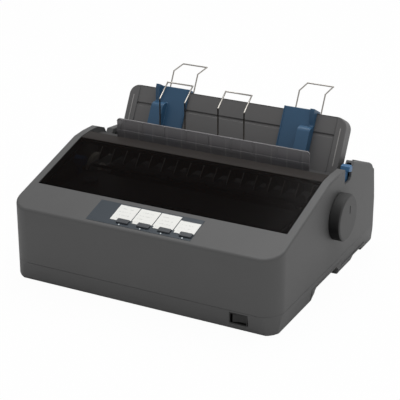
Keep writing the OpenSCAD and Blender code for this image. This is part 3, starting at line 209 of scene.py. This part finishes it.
def round_edges(piece, wide, fine, is_wide, segments=4, stays_sharp=None):
    """Bevels a piece's edges, and evens out its shading.

    The edges that is_wide(middle, normals) picks are beveled by wide, and the rest by fine.
    Those that stays_sharp(middle in millimetres) picks are left.
    """
    mesh = piece.data
    weights = mesh.attributes.get("bevel_weight_edge")
    if weights is None:
        weights = mesh.attributes.new("bevel_weight_edge", "FLOAT", "EDGE")
    normals = {}
    for face in mesh.polygons:
        for key in face.edge_keys:
            normals.setdefault(key, []).append(face.normal)
    for edge in mesh.edges:
        pair = normals.get(tuple(sorted(edge.vertices)), [])
        bend = pair[0].angle(pair[1], 0) if len(pair) == 2 else 0
        a, b = (mesh.vertices[i].co for i in edge.vertices)
        if bend < math.radians(sharp_bend) or stays_sharp and stays_sharp((a + b) / 2 / MM):
            weights.data[edge.index].value = 0.0
        elif is_wide((a + b) / 2, pair):
            weights.data[edge.index].value = 1.0
        else:
            weights.data[edge.index].value = fine / wide
    bevel = piece.modifiers.new("soft edges", "BEVEL")
    bevel.limit_method = "WEIGHT"
    bevel.width = wide
    bevel.segments = segments
    bevel.use_clamp_overlap = False
    bevel.miter_outer = "MITER_ARC"
    even = piece.modifiers.new("even shading", "WEIGHTED_NORMAL")
    even.keep_sharp = True
    bpy.ops.object.select_all(action="DESELECT")
    piece.select_set(True)
    bpy.context.view_layer.objects.active = piece
    bpy.ops.object.shade_smooth_by_angle(angle=math.radians(soft_bend))
    bpy.ops.object.modifier_apply(modifier=bevel.name)
    bpy.ops.object.shade_smooth_by_angle(angle=math.radians(soft_bend))
    bpy.ops.object.modifier_apply(modifier=even.name)


def dress(piece, body, slot, material, *nodes):
    """Gives a finished piece its main material, its body and the CAD nodes it stands for."""
    piece.data.materials.clear()
    piece.data.materials.append(material)
    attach(piece, body)
    if nodes:
        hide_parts(*nodes)


def paint_faces(piece, material, picks):
    """Puts one more material on the faces whose middle picks() accepts."""
    piece.data.materials.append(material)
    for face in piece.data.polygons:
        if picks(face.center):
            face.material_index = len(piece.data.materials) - 1


def from_outline(x, y):
    """How far a point lies inside the case's outline, seen from above, in millimetres."""
    radius = front_corner if y < 0 else rear_corner
    past_x = abs(x) - (case_half_width - radius)
    past_y = abs(y) - (case_half_depth - radius)
    if past_x > 0 and past_y > 0:
        return radius - math.hypot(past_x, past_y)
    return min(case_half_width - abs(x), case_half_depth - abs(y))


def upper_case_edge(middle, pair):
    """The case's outer edges, where a wall meets the deck, a rim or the rear slope.

    The edges of the notch for the release lever aren't among them.
    """
    x, y, z = middle / MM
    faces_out = all(n.x * x > -0.2 and n.z > -0.2 for n in pair) and max(n.z for n in pair) > 0.3
    in_lever_notch = x > 160 and 38 < y < 72 and z < 137.5
    return z > 90 and faces_out and from_outline(x, y) < 1.5 and not in_lever_notch


# Spark-eroded ABS: dull mid grey with a fine grain, so that edges take only a soft light
case_abs = moulded_plastic("spark_eroded_grey_abs", case_colour, case_shade, case_grain,
                           roughness=0.52, bump=0.35, shine=0.35)

upper = merged_copy("upper_case", "upper_case_moulding")
round_edges(upper, case_edge, fine_edge, upper_case_edge,
            stays_sharp=lambda middle: middle.y > rear_wall_y and middle.z < rear_wall_top)
dress(upper, "base", "case_grey", case_abs, "upper_case")


def trim(point, normal):
    """Cuts off what lies beyond a plane, and closes the cut."""
    bpy.ops.mesh.select_all(action="SELECT")
    bpy.ops.mesh.bisect(plane_co=point * MM, plane_no=normal, use_fill=True, clear_outer=True,
                        threshold=0.000001)


def round_base_edge(turn, corner, reach, lean, radius):
    """Rounds the base's edge that faces turn.

    Five planes touch a round of the given radius, under a wall that leans by lean. The
    wall's foot lies reach away from corner.
    """
    out = Vector((math.cos(turn), math.sin(turn), 0.0))
    inset = radius * (1 - math.sin(lean)) / math.cos(lean)
    centre = Vector((corner[0], corner[1], radius)) + out * (reach - inset)
    for degrees in (11, 27, 43, 59, 75):
        tip = math.radians(degrees)
        normal = out * math.sin(tip) - Vector((0.0, 0.0, math.cos(tip)))
        trim(centre + normal * radius, normal)


lower = merged_copy("lower_case", "lower_case_moulding")
bpy.ops.object.mode_set(mode="EDIT")
lean = math.atan2(base_lean_in, seam_height)
for turn, half, radius in ((0, case_half_width, side_round), (180, case_half_width, side_round),
                           (270, case_half_depth, front_round)):
    round_base_edge(math.radians(turn), (0, 0), half - base_lean_in, lean, radius)
for turn in range(195, 360, 15):
    corner_x = (case_half_width - front_corner) * (1 if turn > 270 else -1)
    corner_y = front_corner - case_half_depth
    if turn != 270:
        round_base_edge(math.radians(turn), (corner_x, corner_y), front_corner, 0.0, front_round)
bpy.ops.object.mode_set(mode="OBJECT")
round_edges(lower, 1.0 * MM, 0.3 * MM, lambda middle, pair: False,
            stays_sharp=lambda middle: middle.z < 1 or middle.y > lower_rear_y)
dress(lower, "base", "case_dark", case_abs, "lower_case")

# ---------------------------------------------------------------------------
# Cover: a smoked window moulded in one with a browner ledge behind it. It is
# polished, tinted almost black, and hinges on two pins at the ledge's ends.
window_tint = "#080403"
ledge_colour = "#2e2a28"
ledge_shade = "#282422"

# Smoked acrylic: almost black, with a faint sheen over what shows dimly through it
smoked, tree = new_material("smoked_polished_acrylic")
smoked_place = add(tree, "ShaderNodeTexCoord")
smoked_ripple = add(tree, "ShaderNodeTexNoise", {"Scale": 9.0, "Detail": 1.0},
                    {"Vector": smoked_place.outputs["Object"]})
smoked_gloss = add(tree, "ShaderNodeMapRange", {"To Min": 0.12, "To Max": 0.2},
                   {"Value": smoked_ripple.outputs["Fac"]})
smoked_surface = add(tree, "ShaderNodeBsdfPrincipled",
                     {"Base Color": linear(window_tint), "IOR": 1.49, "Alpha": 0.6,
                      "Specular IOR Level": 0.035},
                     {"Roughness": smoked_gloss.outputs[0]})
add(tree, "ShaderNodeOutputMaterial", None, {"Surface": smoked_surface.outputs[0]})

window = merged_copy("cover_window", "smoked_window")
round_edges(window, 0.8 * MM, 0.3 * MM, lambda middle, pair: max(n.z for n in pair) > 0.8)
dress(window, "cover", "smoke", smoked, "cover_window")

# The ledge: a grained, dull brown black that tells it from the grey of the case
ledge_plastic = moulded_plastic("smoked_ledge_plastic", ledge_colour, ledge_shade, 0.9 * MM,
                                roughness=0.5, bump=0.2, shine=0.12)
ledge = merged_copy("cover_ledge", "cover_ledge_moulding")
round_edges(ledge, 1.0 * MM, 0.25 * MM, lambda middle, pair: max(n.z for n in pair) > 0.8)
dress(ledge, "cover", "ledge", ledge_plastic, "cover_ledge")

# ---------------------------------------------------------------------------
# Separator: a clear grey styrene plate, clipped into a black bar behind the
# cover. It keeps the paper going in apart from the paper coming out.
separator_tint = "#848284"
separator_foot_tint = "#6a686a"
separator_rib_pitch = 20.3 * MM
separator_rib_share = 0.09     # of the pitch
separator_rib_tone = "#9a989a"
separator_rib_strength = 0.18
separator_fade = (0.137, 0.151)     # heights between which the foot's tone turns to the top's
separator_top = 152 * MM

# Clear styrene: a pale film of grey over what stands behind it, with faint upright ribs
clear_grey, tree = new_material("clear_grey_styrene")
grey_place = add(tree, "ShaderNodeTexCoord")
grey_cloud = add(tree, "ShaderNodeTexNoise", {"Scale": 20.0, "Detail": 2.0},
                 {"Vector": grey_place.outputs["Object"]})
grey_gloss = add(tree, "ShaderNodeMapRange", {"To Min": 0.2, "To Max": 0.32},
                 {"Value": grey_cloud.outputs["Fac"]})
grey_split = add(tree, "ShaderNodeSeparateXYZ", None, {"Vector": grey_place.outputs["Object"]})
grey_rise = add(tree, "ShaderNodeMapRange",
                {"From Min": separator_fade[0], "From Max": separator_fade[1]},
                {"Value": grey_split.outputs["Z"]})
grey_tone = add(tree, "ShaderNodeMix", {"data_type": "RGBA", 6: linear(separator_foot_tint),
                                        7: linear(separator_tint)}, {0: grey_rise.outputs[0]})
grey_turns = add(tree, "ShaderNodeMath", {"operation": "DIVIDE", 1: separator_rib_pitch},
                 {0: grey_split.outputs["X"]})
grey_cell = add(tree, "ShaderNodeMath", {"operation": "FRACT"}, {0: grey_turns.outputs[0]})
grey_rib = add(tree, "ShaderNodeMath", {"operation": "LESS_THAN", 1: separator_rib_share},
               {0: grey_cell.outputs[0]})
grey_rib_soft = add(tree, "ShaderNodeMath", {"operation": "MULTIPLY", 1: separator_rib_strength},
                    {0: grey_rib.outputs[0]})
grey_ribbed = add(tree, "ShaderNodeMix", {"data_type": "RGBA", 7: linear(separator_rib_tone)},
                  {0: grey_rib_soft.outputs[0], 6: grey_tone.outputs[2]})
grey_surface = add(tree, "ShaderNodeBsdfPrincipled", {"IOR": 1.59, "Alpha": 0.82,
                                                      "Specular IOR Level": 0.3},
                   {"Base Color": grey_ribbed.outputs[2], "Roughness": grey_gloss.outputs[0]})
add(tree, "ShaderNodeOutputMaterial", None, {"Surface": grey_surface.outputs[0]})

plate = merged_copy("separator", "separator_plate")
round_edges(plate, 0.6 * MM, 0.25 * MM, lambda middle, pair: middle.z > separator_top)
dress(plate, "base", "clear_grey", clear_grey, "separator")

# Black ABS: a dull black with a grain, which keeps the bar from shining under the plate
black_abs = moulded_plastic("grained_black_abs", "#242323", "#1e1d1d", 0.9 * MM, 0.48, 0.3)
bar = merged_copy("separator_bar", "separator_bar_moulding")
round_edges(bar, 0.6 * MM, 0.3 * MM, lambda middle, pair: True)
dress(bar, "base", "black", black_abs, "separator_bar")

# ---------------------------------------------------------------------------
# Paper guide: a grey ABS tray that stands behind the printer. Its flanges stand
# a little proud of its face; a pale strip down each is a painted highlight. It pivots on two pins.
tray_foot = 100 * MM       # above this the tray's edges are well rounded
# Grained tray ABS: a touch paler than the case, so that the tray stands off it
guide_plastic = moulded_plastic("grained_grey_abs_tray", "#686767", "#605f5f", 1.0 * MM, 0.5, 0.3)
tray = merged_copy("paper_guide", "paper_guide_moulding")
round_edges(tray, 1.0 * MM, 0.3 * MM, lambda middle, pair: middle.z > tray_foot and len(pair) == 2)
dress(tray, "guide", "case_dark", guide_plastic, "paper_guide")

guide_foot = Vector((-2.8, 79.0, 118.5))
guide_lean = math.radians(28)
highlight_strip_x = 144.5
highlight_strip_size = Vector((1.2, 0.9, 47.0))
highlight_strip_middle = 26.0         # how far up the flange the middle of a painted highlight strip lies
# Painted highlight: a pale strip down each flange, for the light its front edge catches
highlight_strip_plastic = moulded_plastic("painted_highlight_strip_abs", "#a9a7a5", "#9d9b99", 0.8 * MM, 0.3, 0.1)
# Each flange gets a thin pale strip, a painted highlight rather than part of the moulding
highlight_strips = []
for s in (-1, 1):
    bpy.ops.object.select_all(action="DESELECT")
    bpy.ops.mesh.primitive_cube_add(size=1.0, location=(0, 0, 0))
    highlight_strip = bpy.context.active_object
    highlight_strip.scale = highlight_strip_size * MM
    highlight_strip.location = Vector((s * highlight_strip_x, 0.0, highlight_strip_middle)) * MM
    bpy.ops.object.transform_apply(location=True, rotation=False, scale=True)
    highlight_strip.rotation_euler = (-guide_lean, 0.0, 0.0)
    highlight_strip.location = guide_foot * MM
    bpy.ops.object.transform_apply(location=True, rotation=True, scale=True)
    highlight_strips.append(highlight_strip)
for highlight_strip in highlight_strips:
    highlight_strip.select_set(True)
bpy.ops.object.join()
highlight_strips = bpy.context.active_object
highlight_strips.name = "tray_flange_highlight_strips"
round_edges(highlight_strips, 0.3 * MM, 0.3 * MM, lambda middle, pair: True, segments=2)
dress(highlight_strips, "guide", "case_dark", highlight_strip_plastic)

# ---------------------------------------------------------------------------
# Edge guides: blue ABS sliders, hooked over the top of the paper guide. Each is
# moulded in one with the fence that leads the paper's edge.
# Blue ABS: a deep, slightly greyed blue with a soft gloss, the one strong colour
blue_abs = moulded_plastic("moulded_blue_abs", "#345b7b", "#2d516f", 0.9 * MM, 0.42, 0.2)
for side, body in (("left", "edge_l"), ("right", "edge_r")):
    slider = merged_copy("edge_guide_" + side, "edge_guide_%s_moulding" % side)
    round_edges(slider, 0.7 * MM, 0.3 * MM, lambda middle, pair: True)
    dress(slider, body, "blue", blue_abs, "edge_guide_" + side)

# ---------------------------------------------------------------------------
# Levers: the paper release lever in the right rim, and the thickness lever
# that shows at the left of the mouth. Both are blue mouldings on steel pins.
release_grip = 125 * MM
thickness_grip = 105 * MM
# Lever blue: paler than the edge guides, since the tip catches the light from above
lever_blue = moulded_plastic("moulded_lever_blue", "#3f6f99", "#37658e", 0.8 * MM, 0.4, 0.2)
release = merged_copy("release_lever", "release_lever_moulding")
round_edges(release, 0.9 * MM, 0.4 * MM, lambda middle, pair: middle.z > release_grip)
dress(release, "release", "blue", lever_blue, "release_lever")

# Navy ABS: saturated enough to show through the smoked window
navy_abs = moulded_plastic("moulded_navy_abs", "#2c5484", "#264b78", 0.8 * MM, 0.4, 0.2)
thickness = merged_copy("gap_lever", "thickness_lever_moulding")
round_edges(thickness, 0.9 * MM, 0.4 * MM, lambda middle, pair: middle.z > thickness_grip)
dress(thickness, "thickness", "navy", navy_abs, "gap_lever")

# ---------------------------------------------------------------------------
# Wire supports: 1.8 mm bright steel wire, bent cold into loops whose feet clip
# into ears. Drawing leaves the surface bright with faint dull streaks.


def bright_metal(name, light, dark, scale, low, high):
    """Bare metal whose tone and gloss wander a little over its surface."""
    made, tree = new_material(name)
    place = add(tree, "ShaderNodeTexCoord")
    streak = add(tree, "ShaderNodeTexNoise", {"Scale": scale, "Detail": 2.0},
                 {"Vector": place.outputs["Object"]})
    gloss = add(tree, "ShaderNodeMapRange", {"To Min": low, "To Max": high},
                {"Value": streak.outputs["Fac"]})
    tone = add(tree, "ShaderNodeMix", {"data_type": "RGBA", 6: linear(light), 7: linear(dark)},
               {0: streak.outputs["Fac"]})
    surface = add(tree, "ShaderNodeBsdfPrincipled", {"Metallic": 1.0},
                  {"Base Color": tone.outputs[2], "Roughness": gloss.outputs[0]})
    add(tree, "ShaderNodeOutputMaterial", None, {"Surface": surface.outputs[0]})
    return made


def finish_nodes(material, *nodes):
    """Puts a material on CAD nodes that are shown as they are."""
    for node in nodes:
        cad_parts[node].data.materials.clear()
        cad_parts[node].data.materials.append(material)


# Drawn steel: thin bright lines, a little streaked
drawn_steel = bright_metal("drawn_bright_steel_wire", "#c4c0ba", "#a8a39c", 400.0, 0.24, 0.4)
# Painted dark reflection: the front wires' legs take a darker copy of the steel, as dark lines
# before the tray
dark_reflection_steel = bright_metal("steel_wire_painted_dark_reflection", "#5c5853", "#46423e", 400.0, 0.35, 0.5)
front_kink_z = 187.0
dark_reflection_below = 2.0
finish_nodes(drawn_steel, "rear_wire_left", "rear_wire_right")
for node, body in (("front_wire_left", "front_wire_l"), ("front_wire_mid", "front_wire_m")):
    wire = merged_copy(node, node + "_support")
    dress(wire, body, "steel", drawn_steel, node)
    # Legs below the kink take the painted dark reflection
    paint_faces(wire, dark_reflection_steel, lambda middle: (
        middle.z < (front_kink_z - dark_reflection_below) * MM))

# ---------------------------------------------------------------------------
# Control panel: a printed film with four white tiles and small lights, let
# into the deck. The tiles carry only plain printed rules.
deck_slope = math.radians(15.5)
deck_front = Vector((0.0, -151.0, 94.4))
light_row = 8.3
light_reach = 1.2
light_top = 0.15
light_foot = -0.85
tile_face = 0.11
tile_row = 12.0
tile_corner = (-0.0425, -0.151, 0.0944)
tile_pitch = 27.1 * MM
tile_inset = (0.12, 0.72)      # the printed part of a tile, as a share of the pitch
rules_per_tile = 4.6
rule_share = 0.26
ink_strength = 0.22


def deck_place(point):
    """A point's place on the deck: across, up the slope, and out of it, in millimetres."""
    local = point / MM - deck_front
    return (local.x, local.y * math.cos(deck_slope) + local.z * math.sin(deck_slope),
            -local.y * math.sin(deck_slope) + local.z * math.cos(deck_slope))


# Printed film: a flat slate blue, glossier than the case round it
film = moulded_plastic("printed_slate_film", "#2b3640", "#27313a", 1.4 * MM, 0.4, 0.1)

# Printed tiles: clean white, with faint broken rules that read as small print
tile_print, tree = new_material("white_printed_tile")
print_place = add(tree, "ShaderNodeTexCoord")
print_turn = add(tree, "ShaderNodeMapping",
                 {"vector_type": "TEXTURE", "Location": tile_corner,
                  "Rotation": (deck_slope, 0.0, 0.0), "Scale": (tile_pitch,) * 3},
                 {"Vector": print_place.outputs["Object"]})
print_split = add(tree, "ShaderNodeSeparateXYZ", None, {"Vector": print_turn.outputs[0]})
print_cell = add(tree, "ShaderNodeMath", {"operation": "FRACT"}, {0: print_split.outputs["X"]})
# Printed rules across each tile: bars of ink at set heights, broken up by noise
rule_wave = add(tree, "ShaderNodeMath", {"operation": "MULTIPLY", 1: rules_per_tile},
                {0: print_split.outputs["Y"]})
rule_fract = add(tree, "ShaderNodeMath", {"operation": "FRACT"}, {0: rule_wave.outputs[0]})
rule_mask = add(tree, "ShaderNodeMath", {"operation": "LESS_THAN", 1: rule_share},
                {0: rule_fract.outputs[0]})
dash_noise = add(tree, "ShaderNodeTexNoise", {"Scale": 600.0, "Detail": 1.0},
                 {"Vector": print_place.outputs["Object"]})
dash_mask = add(tree, "ShaderNodeMath", {"operation": "GREATER_THAN", 1: 0.53},
                {0: dash_noise.outputs["Fac"]})
inset_low = add(tree, "ShaderNodeMath", {"operation": "GREATER_THAN", 1: tile_inset[0]},
                {0: print_cell.outputs[0]})
inset_high = add(tree, "ShaderNodeMath", {"operation": "LESS_THAN", 1: tile_inset[1]},
                 {0: print_cell.outputs[0]})
ink_a = add(tree, "ShaderNodeMath", {"operation": "MULTIPLY"},
            {0: rule_mask.outputs[0], 1: dash_mask.outputs[0]})
ink_b = add(tree, "ShaderNodeMath", {"operation": "MULTIPLY"},
            {0: inset_low.outputs[0], 1: inset_high.outputs[0]})
ink = add(tree, "ShaderNodeMath", {"operation": "MULTIPLY"},
          {0: ink_a.outputs[0], 1: ink_b.outputs[0]})
ink_soft = add(tree, "ShaderNodeMath", {"operation": "MULTIPLY", 1: ink_strength},
               {0: ink.outputs[0]})
print_tone = add(tree, "ShaderNodeMix",
                 {"data_type": "RGBA", 6: linear("#f3f3ef"), 7: linear("#3a3a3a")},
                 {0: ink_soft.outputs[0]})
print_surface = add(tree, "ShaderNodeBsdfPrincipled", {"IOR": 1.5, "Roughness": 0.35},
                    {"Base Color": print_tone.outputs[2]})
add(tree, "ShaderNodeOutputMaterial", None, {"Surface": print_surface.outputs[0]})

# Light pipes: pale and glossy, like small lamps that are off
lens_clear = moulded_plastic("clear_light_pipe", "#dfe6ea", "#cfd6da", 1.0 * MM, 0.2, 0.0)


def is_light_pipe(middle):
    """Whether a face belongs to one of the light pipes, on top of the film or under it."""
    up, out = deck_place(middle)[1:]
    return abs(up - light_row) < light_reach and (out > light_top or out < light_foot)


def is_tile(middle):
    """Whether a face belongs to one of the white tiles."""
    up, out = deck_place(middle)[1:]
    return out > tile_face and up > tile_row


panel = merged_copy("label", "control_film")
bpy.ops.object.shade_flat()
dress(panel, "base", "label", film, "label")
paint_faces(panel, tile_print, is_tile)
paint_faces(panel, lens_clear, is_light_pipe)

# ---------------------------------------------------------------------------
# Keys: four grey ABS caps below the tiles, each standing on a switch of the
# panel's own board. They come up through openings in the film and the deck.
# Key ABS: a cool dark grey, paler on top than the film round it
key_plastic = moulded_plastic("grey_key_abs", "#3d4146", "#363a3f", 0.8 * MM, 0.45, 0.2)
for number in range(1, 5):
    key = merged_copy("button_%d" % number, "key_cap_%d" % number)
    round_edges(key, 0.5 * MM, 0.2 * MM, lambda middle, pair: max(n.z for n in pair) > 0.8)
    dress(key, "key_%d" % number, "key", key_plastic, "button_%d" % number)

# ---------------------------------------------------------------------------
# Power switch: a black nylon frame snapped into the front wall, with a rocker
# of the same nylon that tips on two pins in it.
# Smooth nylon: black with a narrow highlight along its edges
switch_black = moulded_plastic("smooth_black_nylon", "#161616", "#121212", 0.8 * MM, 0.32, 0.1)
for node, body in (("switch_bezel", "base"), ("rocker", "switch")):
    part = merged_copy(node, node + "_moulding")
    round_edges(part, 0.5 * MM, 0.25 * MM, lambda middle, pair: True)
    dress(part, body, "black", switch_black, node)

# ---------------------------------------------------------------------------
# Metal frame: a zinc-plated pan with two side plates on its edges, held to the
# lower case by four screws.
# Zinc plate: a cold, cloudy grey metal
sheet_zinc = bright_metal("zinc_plated_sheet", "#8f9294", "#a7abad", 120.0, 0.34, 0.5)
finish_nodes(sheet_zinc, "frame_pan", "side_plate_left", "side_plate_right")
finish_nodes(drawn_steel, "case_screws", "guide_rods")

# ---------------------------------------------------------------------------
# Platen: a ground rubber roller on a steel shaft, turned by hand with the grey
# knob on its right end or by the gear on its left end.
# Ground rubber: a dull black without any highlight
ground_rubber = moulded_plastic("ground_black_rubber", "#222225", "#1b1b1e", 0.7 * MM, 0.75, 0.5)
# Acetal: milky white, smooth and slightly glossy
acetal = moulded_plastic("white_acetal", "#dcd8cc", "#d2cec2", 1.0 * MM, 0.35, 0.1)
finish_nodes(ground_rubber, "platen_roller")
finish_nodes(drawn_steel, "platen_shaft")
finish_nodes(acetal, "platen_gear", "platen_bushings")
knob_centre = Vector((188.0, 21.0, 84.5))
knob_radius = 28.5
knob_dish = 15.0           # the slot in the knob's face lies within this radius
knob_edge = 1.4
rim_low = 0.078
rim_high = 0.112
# Knob ABS: darker than the case, so that the disc stands out from the side behind it
knob_abs = moulded_plastic("grained_knob_abs", "#373737", "#313131", 0.9 * MM, 0.5, 0.3)
# Knob rim: painted shade, nearly black below and grey above, the shade a rim takes under a lamp
knob_rim_shade, tree = new_material("knob_rim_painted_shade")
rim_place = add(tree, "ShaderNodeTexCoord")
rim_split = add(tree, "ShaderNodeSeparateXYZ", None, {"Vector": rim_place.outputs["Object"]})
rim_rise = add(tree, "ShaderNodeMapRange", {"From Min": rim_low, "From Max": rim_high},
               {"Value": rim_split.outputs["Z"]})
rim_shade_tone = add(tree, "ShaderNodeMix",
               {"data_type": "RGBA", 6: linear("#0b0b0b"), 7: linear("#424242")},
               {0: rim_rise.outputs[0]})
rim_surface = add(tree, "ShaderNodeBsdfPrincipled", {"Roughness": 0.65, "Specular IOR Level": 0.2},
                  {"Base Color": rim_shade_tone.outputs[2]})
add(tree, "ShaderNodeOutputMaterial", None, {"Surface": rim_surface.outputs[0]})
knob = merged_copy("knob", "knob_moulding")
round_edges(knob, knob_edge * MM, 0.3 * MM, lambda middle, pair: (
    middle.x > (knob_centre.x - 0.5) * MM
    and (middle / MM - knob_centre).yz.length > knob_dish))
dress(knob, "platen", "case_grey", knob_abs, "knob")
# The rim's faces take the painted shade
paint_faces(knob, knob_rim_shade, lambda middle: (
    (middle / MM - knob_centre).yz.length > knob_radius - 0.4
    and middle.x < (knob_centre.x - knob_edge) * MM))

# ---------------------------------------------------------------------------
# Paper feed: a stepper motor with a brass pinion, and two acetal idlers that
# carry the turn on to the tractor shaft.
# Turned brass: a warm yellow metal, bright along its teeth
brass = bright_metal("turned_brass", "#c09a55", "#ab8644", 300.0, 0.28, 0.42)
finish_nodes(sheet_zinc, "motors")
finish_nodes(brass, "feed_pinion")
finish_nodes(acetal, "idler_gear_front", "idler_gear_rear")

# ---------------------------------------------------------------------------
# Paper path: the trough under the platen with its ribbed slope, the comb that
# leads paper out, and the bail, whose rubber rollers press paper to the platen.
# Path styrene: a smooth black, so that only the ribs' front edges can be seen in it
path_black = moulded_plastic("black_path_styrene", "#131314", "#0f0f10", 0.9 * MM, 0.4, 0.25)
# Painted highlight: the front edges of the comb's ribs are painted pale, thin lit lines behind the
# window
comb_rib_highlight = moulded_plastic("painted_rib_edge_highlight", "#b5b0aa", "#a8a39d", 0.9 * MM, 0.45, 0.2)
comb_wall_y = 30.0
comb_pitch = 18.0
comb_rib_half = 0.5
bail_shaft_radius = 2.2
bail_roller_pitch = 52.0
bail_roller_end = 8.0
bail_axis = Vector((0.0, 3.96, 96.43))
finish_nodes(path_black, "paper_chute", "guide_bearings")
comb = merged_copy("exit_guide", "exit_comb")
round_edges(comb, 0.3 * MM, 0.2 * MM, lambda middle, pair: True, segments=2)
dress(comb, "base", "black", path_black, "exit_guide")
# The ribs' front faces take the painted highlight
paint_faces(comb, comb_rib_highlight, lambda middle: (
    middle.y < (comb_wall_y - 0.4) * MM
    and abs(middle.x / MM - comb_pitch * round(middle.x / MM / comb_pitch)) < comb_rib_half))
# Blackened steel: an oiled dark metal that stays quiet under the window
blackened_steel = bright_metal("blackened_steel", "#2b2927", "#1f1d1c", 200.0, 0.4, 0.55)
bail = merged_copy("bail", "bail_bar")
dress(bail, "bail_bar", "steel", blackened_steel, "bail")
paint_faces(bail, ground_rubber, lambda middle: (
    (middle / MM - bail_axis).yz.length > bail_shaft_radius
    or abs(abs(middle.x / MM) % bail_roller_pitch - bail_roller_end) < 0.1))

# ---------------------------------------------------------------------------
# Carriage: a black nylon block that slides on a steel rod and a front rail, drawn
# along by the belt. It holds the die-cast print head, whose fins shed its heat.
# Die casting: a rough light grey, the palest thing under the window
cast_grey = moulded_plastic("die_cast_grey", "#75777a", "#67696c", 0.8 * MM, 0.5, 0.5)
# Sliding nylon: a smooth black, a little greasy in its gloss
slide_black = moulded_plastic("black_carriage_nylon", "#1a1a1c", "#151517", 0.9 * MM, 0.4, 0.2)
block = merged_copy("carriage", "carriage_moulding")
round_edges(block, 0.8 * MM, 0.3 * MM, lambda middle, pair: False, segments=2)
dress(block, "carriage", "black", slide_black, "carriage")
head = merged_copy("print_head", "print_head_casting")
round_edges(head, 0.5 * MM, 0.2 * MM, lambda middle, pair: False, segments=2)
dress(head, "carriage", "aluminium", cast_grey, "print_head")

# ---------------------------------------------------------------------------
# Belt drive: a toothed belt round a brass pulley on the carriage motor and a
# plain wheel on a fixed pin.
finish_nodes(brass, "drive_pulley")
finish_nodes(acetal, "idler_pulley")
finish_nodes(ground_rubber, "drive_belt")

# ---------------------------------------------------------------------------
# Ribbon cartridge: a black styrene box laid across the side plates, with the
# knob that takes up the ribbon's slack.
# Cartridge styrene: a semi-gloss black that gives the mouth its even floor
cartridge_black = moulded_plastic("black_cartridge_styrene", "#222224", "#1c1c1e", 0.9 * MM,
                                  roughness=0.4, bump=0.25)
cartridge_top = 98 * MM
cartridge = merged_copy("ribbon_cartridge", "ribbon_cartridge_moulding")
round_edges(cartridge, 0.8 * MM, 0.2 * MM, lambda middle, pair: (
    max(n.z for n in pair) > 0.9 and middle.z > cartridge_top))
dress(cartridge, "base", "black", cartridge_black, "ribbon_cartridge")
slack_knob = merged_copy("ribbon_knob", "slack_knob")
round_edges(slack_knob, 0.4 * MM, 0.2 * MM, lambda middle, pair: False, segments=2)
dress(slack_knob, "ribbon_wheel", "key", key_plastic, "ribbon_knob")

# ---------------------------------------------------------------------------
# Tractors: two grey clamps on a shaft and a rod, with acetal pin wheels under
# hinged covers. The shaft ends in the last gear of the feed train.
shaft_axis = Vector((0.0, 118.0, 84.5))
shaft_radius = 4.2
gear_face_x = -153 * MM
tractor_shaft = merged_copy("tractor_shaft", "tractor_shaft_and_gear")
dress(tractor_shaft, "tractor_drive", "steel", drawn_steel, "tractor_shaft")
paint_faces(tractor_shaft, acetal, lambda middle: (
    (middle / MM - shaft_axis).yz.length > shaft_radius and middle.x < gear_face_x))
finish_nodes(acetal, "tractor_left_sprocket", "tractor_right_sprocket")
for side, clamp_body in (("left", "tractor_l"), ("right", "tractor_r")):
    clamp = merged_copy("tractor_" + side, "tractor_%s_clamp" % side)
    round_edges(clamp, 0.5 * MM, 0.25 * MM, lambda middle, pair: False, segments=2)
    dress(clamp, clamp_body, "key", key_plastic, "tractor_" + side)
    lid = merged_copy("tractor_%s_cover" % side, "tractor_%s_lid" % side)
    round_edges(lid, 0.5 * MM, 0.25 * MM, lambda middle, pair: False, segments=2)
    dress(lid, clamp_body + "_cover", "key", key_plastic, "tractor_%s_cover" % side)

# ---------------------------------------------------------------------------
# Electronics: the main board with its chips, capacitors and rear sockets, the
# panel's small board, the caged power supply and the mains inlet.
# Solder mask: a glossy dark green
board_green = moulded_plastic("solder_mask_green", "#2c5a3c", "#254e33", 0.8 * MM, 0.3, 0.2)
# Chip epoxy: a dull black
chip_black = moulded_plastic("black_chip_epoxy", "#1c1c1d", "#161617", 0.6 * MM, 0.55, 0.3)
# Capacitor sleeve: shrunk-on film in a glossy dark blue
capacitor_sleeve = moulded_plastic("blue_capacitor_sleeve", "#2b3a66", "#24325a", 1.0 * MM,
                                   roughness=0.3, bump=0.1)
board_top = 30.65 * MM
chip_side = -50 * MM
capacitor_side = 80 * MM
board = merged_copy("main_board", "main_board_with_parts")
bpy.ops.object.shade_flat()
dress(board, "base", "board", board_green, "main_board")
paint_faces(board, chip_black, lambda middle: (
    middle.z > board_top and middle.x < chip_side))
paint_faces(board, capacitor_sleeve, lambda middle: (
    middle.z > board_top and middle.y < capacitor_side))
finish_nodes(board_green, "panel_board")
finish_nodes(sheet_zinc, "power_supply", "sockets")
inlet_middle = Vector((118.0, 0.0, 13.6))
inlet_pins_behind = 136.2
inlet_pins_half = (8.6, 4.5)
inlet = merged_copy("inlet", "mains_inlet")
bpy.ops.object.shade_flat()
dress(inlet, "base", "black", switch_black, "inlet")
paint_faces(inlet, drawn_steel, lambda middle: (
    abs(middle.x / MM - inlet_middle.x) < inlet_pins_half[0]
    and middle.y / MM > inlet_pins_behind
    and abs(middle.z / MM - inlet_middle.z) < inlet_pins_half[1]))

# ---------------------------------------------------------------------------
# Feet: four discs of black rubber, pressed into cups in the underside. They lift
# the case clear of the table and keep it from creeping as the carriage runs.
finish_nodes(ground_rubber, "feet")
